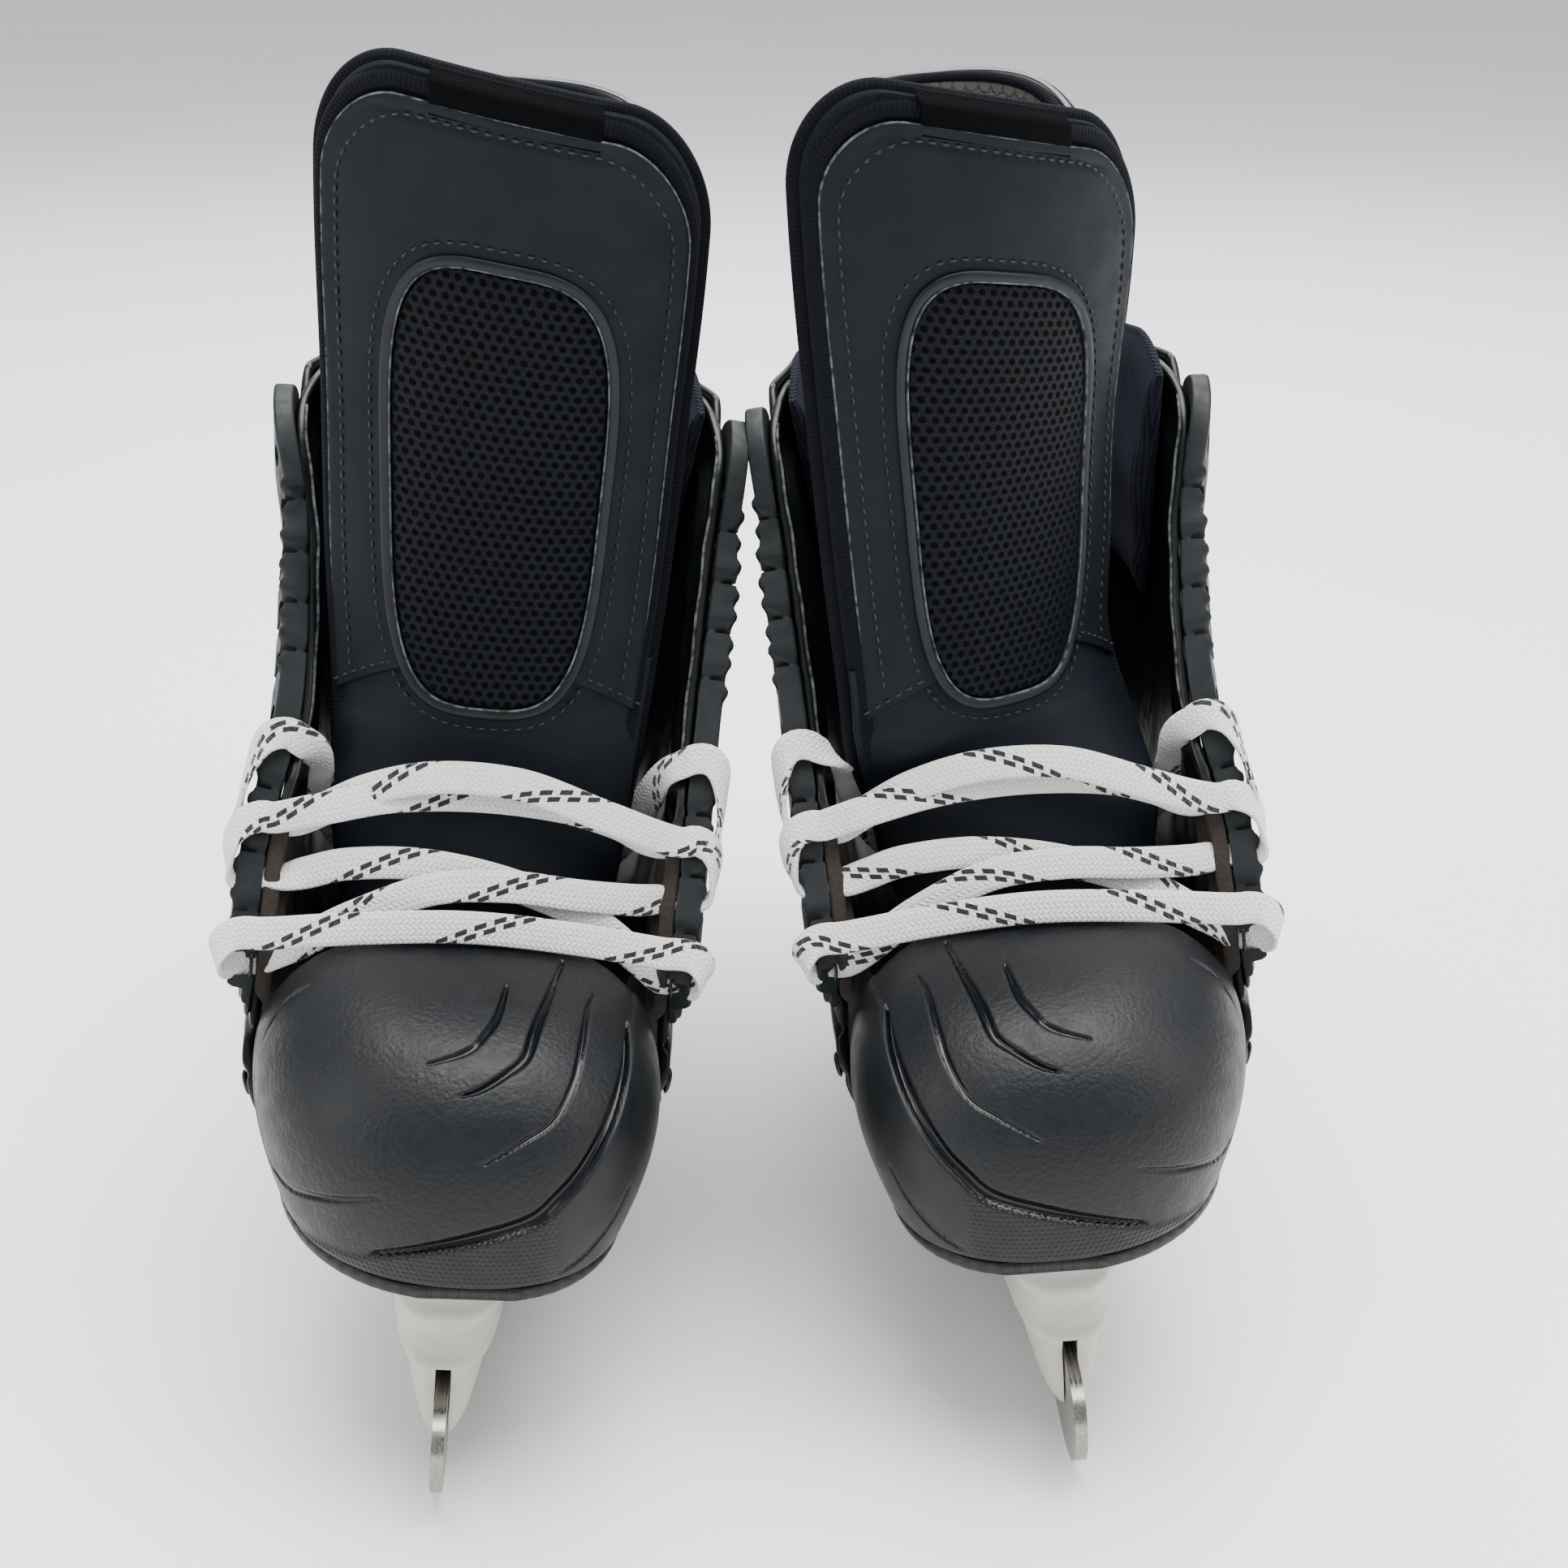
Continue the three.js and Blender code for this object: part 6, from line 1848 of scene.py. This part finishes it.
class SKATES_OT_holder(bpy.types.Operator):
    """Makes the moulded holders, each one smooth body slotted for its runner"""

    bl_idname = "skates.holder"
    bl_label = "Holders"

    def execute(self, context):
        parts = (
            tower_form((-134, -52), (-128, -46), (50, 38), (-121, -36), 30, 5.0)
            + tower_form((60, 129), (62, 126), (52, 40), (58, 130), 28) + [bridge_form()])
        # Half width, from and to along the foot, and from and to in height: the runner's slot, the
        # pockets of its hooks and the trigger's opening.
        slots = [
            (SLOT_HALF, -200, 200, 8, 33.05), (SLOT_HALF, -200, -92, 32, 35.05),
            (SLOT_HALF, -103, -81, 32, 45), (SLOT_HALF, 83, 101, 32, 45.7), (3.7, 50, 77, 41, 59)]
        for side in SIDES:
            skate = Skate(side)
            holder = make(skate, "moulded_holder", joined(parts), "moulded_nylon", "holder",
                          stands_for=("holder",))
            settled(holder, ("REMESH", {"mode": "VOXEL", "voxel_size": 0.0011, "use_smooth_shade": True}))
            settled(holder, ("SMOOTH", {"factor": 0.6, "iterations": 5}))
            for x, y0, y1, z0, z1 in slots:
                tool = make(skate, "cutter", brick(x, y0, y1, z0, z1), "moulded_nylon",
                            "holder")
                settled(
                    holder,
                    ("BOOLEAN", {"operation": "DIFFERENCE", "solver": "MANIFOLD", "object": tool}))
                bpy.data.objects.remove(tool)
            holder.data.shade_smooth()
            holder.data.set_sharp_from_angle(angle=math.radians(50))
        return {"FINISHED"}


# The runner's side outline, as distances along the foot and heights over the ice: its two ends
# as smooth curves, then the lug at the rear and the hook at the front by their corners.
RUNNER_TOE = (
    (-134.5, 30.7), (-141, 30.3), (-146.6, 27.4), (-149.4, 21.5), (-148.2, 14), (-143.2, 7.4),
    (-135, 3.2), (-124.5, 1.6), (-83, 0.35), (-42, 0))
RUNNER_HEEL = (
    (42, 0), (78, 0.35), (115.5, 1.6), (127, 3.4), (135.4, 8.6), (140.2, 17), (139.6, 24.6),
    (134.6, 30.2), (126.5, 32.7))
RUNNER_HOOKS = (
    (99, 32.7), (98, 42.7), (90, 42.7), (89, 37.7), (86, 32.7), (-84, 32.7), (-85, 41.5),
    (-95, 42.5), (-95.4, 39.6), (-89.3, 39.6), (-89.3, 34.4), (-100, 33.6), (-102, 31.2))


def plate(outline, thick):
    """A flat plate of a thickness, standing on its edge, with an outline in y and z."""
    count = len(outline)
    flat = [Vector((y, z, 0)) for y, z in outline]
    inside = np.array(tessellate_polygon([flat]))
    inside = np.c_[inside, inside[:, 2]]
    ids = np.arange(count)
    ahead = np.roll(ids, -1)
    walls = np.stack([ids, ahead, ahead + count, ids + count], -1)
    points = np.concatenate([np.c_[np.full(count, x), outline] for x in (thick / 2, -thick / 2)])
    return points, np.concatenate([inside, inside[:, ::-1] + count, walls]), points[:, 1:] / 1000


class SKATES_OT_runner(bpy.types.Operator):
    """Makes the ground steel runners with their swept ends"""

    bl_idname = "skates.runner"
    bl_label = "Runners"

    def execute(self, context):
        ends = [curve_through(np.array(points), 1.5) for points in (RUNNER_TOE, RUNNER_HEEL)]
        form = plate(np.concatenate([*ends, RUNNER_HOOKS]), RUNNER_THICK)
        for side in SIDES:
            runner = make(Skate(side), "ground_runner", form, "ground_steel", "steel",
                          body="runner_body", stands_for=("runner",), sharp=30)
            edge = runner.modifiers.new("Eased edges", "BEVEL")
            edge.width, edge.segments, edge.limit_method = 0.0002, 2, "ANGLE"
        return {"FINISHED"}


class SKATES_OT_hardware(bpy.types.Operator):
    """Gives the triggers, pins and rivets their metals and plastics and eased edges"""

    bl_idname = "skates.hardware"
    bl_label = "Hardware"

    def execute(self, context):
        finishes = {
            "pin": ("turned_steel", 0.2), "rivet": ("turned_steel", 0.4),
            "trigger": ("black_nylon", 0.5),
        }
        for name, node in frame["nodes"].items():
            if node.hide_render:
                continue
            found = [v for k, v in finishes.items() if k in name]
            if not found:
                raise RuntimeError(f"{name} has no finish and no piece that stands for it")
            node.data.materials.clear()
            node.data.materials.append(materials()[found[0][0]])
            edge = node.modifiers.new("Eased edges", "BEVEL")
            edge.width, edge.segments, edge.limit_method = found[0][1] / 1000, 2, "ANGLE"
        return {"FINISHED"}


# ==== The stage =============================================================================

class SKATES_OT_camera(bpy.types.Operator):
    """Makes the camera, which looks down on the toes from the front"""

    bl_idname = "skates.camera"
    bl_label = "Camera"

    def execute(self, context):
        data = bpy.data.cameras.new("camera")
        data.lens, data.sensor_width = context.scene.skate_sizes.lens, 36
        data.clip_start, data.clip_end = 0.02, 50
        camera = bpy.data.objects.new("camera", data)
        camera.location = (-0.0235, -0.526, 0.374)
        camera.rotation_euler = (math.radians(90 - 25.2), 0, math.radians(-3.9))
        context.scene.collection.objects.link(camera)
        context.scene.camera = camera
        return {"FINISHED"}


class SKATES_OT_stage(bpy.types.Operator):
    """Makes the pale floor and the soft studio lights"""

    bl_idname = "skates.stage"
    bl_label = "Floor and lights"

    def execute(self, context):
        mesh = bpy.data.meshes.new("floor")
        reach = 12
        corners = [(x * reach, y * reach, -0.0002) for x, y in ((-1, -1), (1, -1), (1, 1), (-1, 1))]
        mesh.from_pydata(corners, [], [(0, 1, 2, 3)])
        floor = bpy.data.objects.new("floor", mesh)
        mesh.materials.append(materials()["painted_floor"])
        context.scene.collection.objects.link(floor)
        lights = (
            # name, place, what it points at, size, power
            ("overhead softbox", (0.1, 0.05, 1.6), (0, 0.0, 0.15), (1.6, 1.2), 62),
            ("left softbox", (-1.4, -0.7, 0.9), (0, 0, 0.15), (0.9, 1.2), 12),
            ("right softbox", (1.3, -0.5, 1.0), (0, 0, 0.15), (0.7, 1.2), 11),
            ("back strip", (0.2, 1.3, 1.1), (0, 0, 0.2), (1.6, 0.5), 14),
        )
        for name, place, aim, size, power in lights:
            data = bpy.data.lights.new(name, "AREA")
            data.shape, data.size, data.size_y, data.energy = "RECTANGLE", size[0], size[1], power
            lamp = bpy.data.objects.new(name, data)
            lamp.location = place
            lamp.rotation_euler = (Vector(aim) - Vector(place)).to_track_quat("-Z", "Y").to_euler()
            context.scene.collection.objects.link(lamp)
        world = bpy.data.worlds.new("studio")
        world.use_nodes = True
        world.node_tree.nodes["Background"].inputs[0].default_value = (0.95, 0.97, 1.0, 1)
        world.node_tree.nodes["Background"].inputs[1].default_value = 0.72
        context.scene.world = world
        return {"FINISHED"}


class SKATES_PT_panel(bpy.types.Panel):
    """Lists what can be built, and the colours and sizes it is built with."""

    bl_idname = "SKATES_PT_panel"
    bl_label = "Ice Hockey Skates"
    bl_space_type = "VIEW_3D"
    bl_region_type = "UI"
    bl_category = "Skates"

    def draw(self, context):
        for group in (context.scene.skate_sizes, context.scene.skate_colours):
            for key in group.bl_rna.properties.keys():
                if key not in ("rna_type", "name"):
                    self.layout.prop(group, key)
        for build in BUILDS:
            self.layout.operator(build.bl_idname)


BUILDS = (
    SKATES_OT_camera, SKATES_OT_lace, SKATES_OT_shell, SKATES_OT_cap, SKATES_OT_soles,
    SKATES_OT_lining, SKATES_OT_collar, SKATES_OT_eyestays, SKATES_OT_tongue, SKATES_OT_guard,
    SKATES_OT_holder, SKATES_OT_runner, SKATES_OT_hardware, SKATES_OT_stage,
)
CLASSES = (SkateColours, SkateSizes, *BUILDS, SKATES_PT_panel)


def register():
    for kind in CLASSES:
        bpy.utils.register_class(kind)
    bpy.types.Scene.skate_colours = bpy.props.PointerProperty(type=SkateColours)
    bpy.types.Scene.skate_sizes = bpy.props.PointerProperty(type=SkateSizes)


def unregister():
    del bpy.types.Scene.skate_sizes
    del bpy.types.Scene.skate_colours
    for kind in reversed(CLASSES):
        bpy.utils.unregister_class(kind)


def main():
    register()
    for build in BUILDS:
        group, name = build.bl_idname.split(".")
        getattr(getattr(bpy.ops, group), name)()


if __name__ == "__main__":
    main()
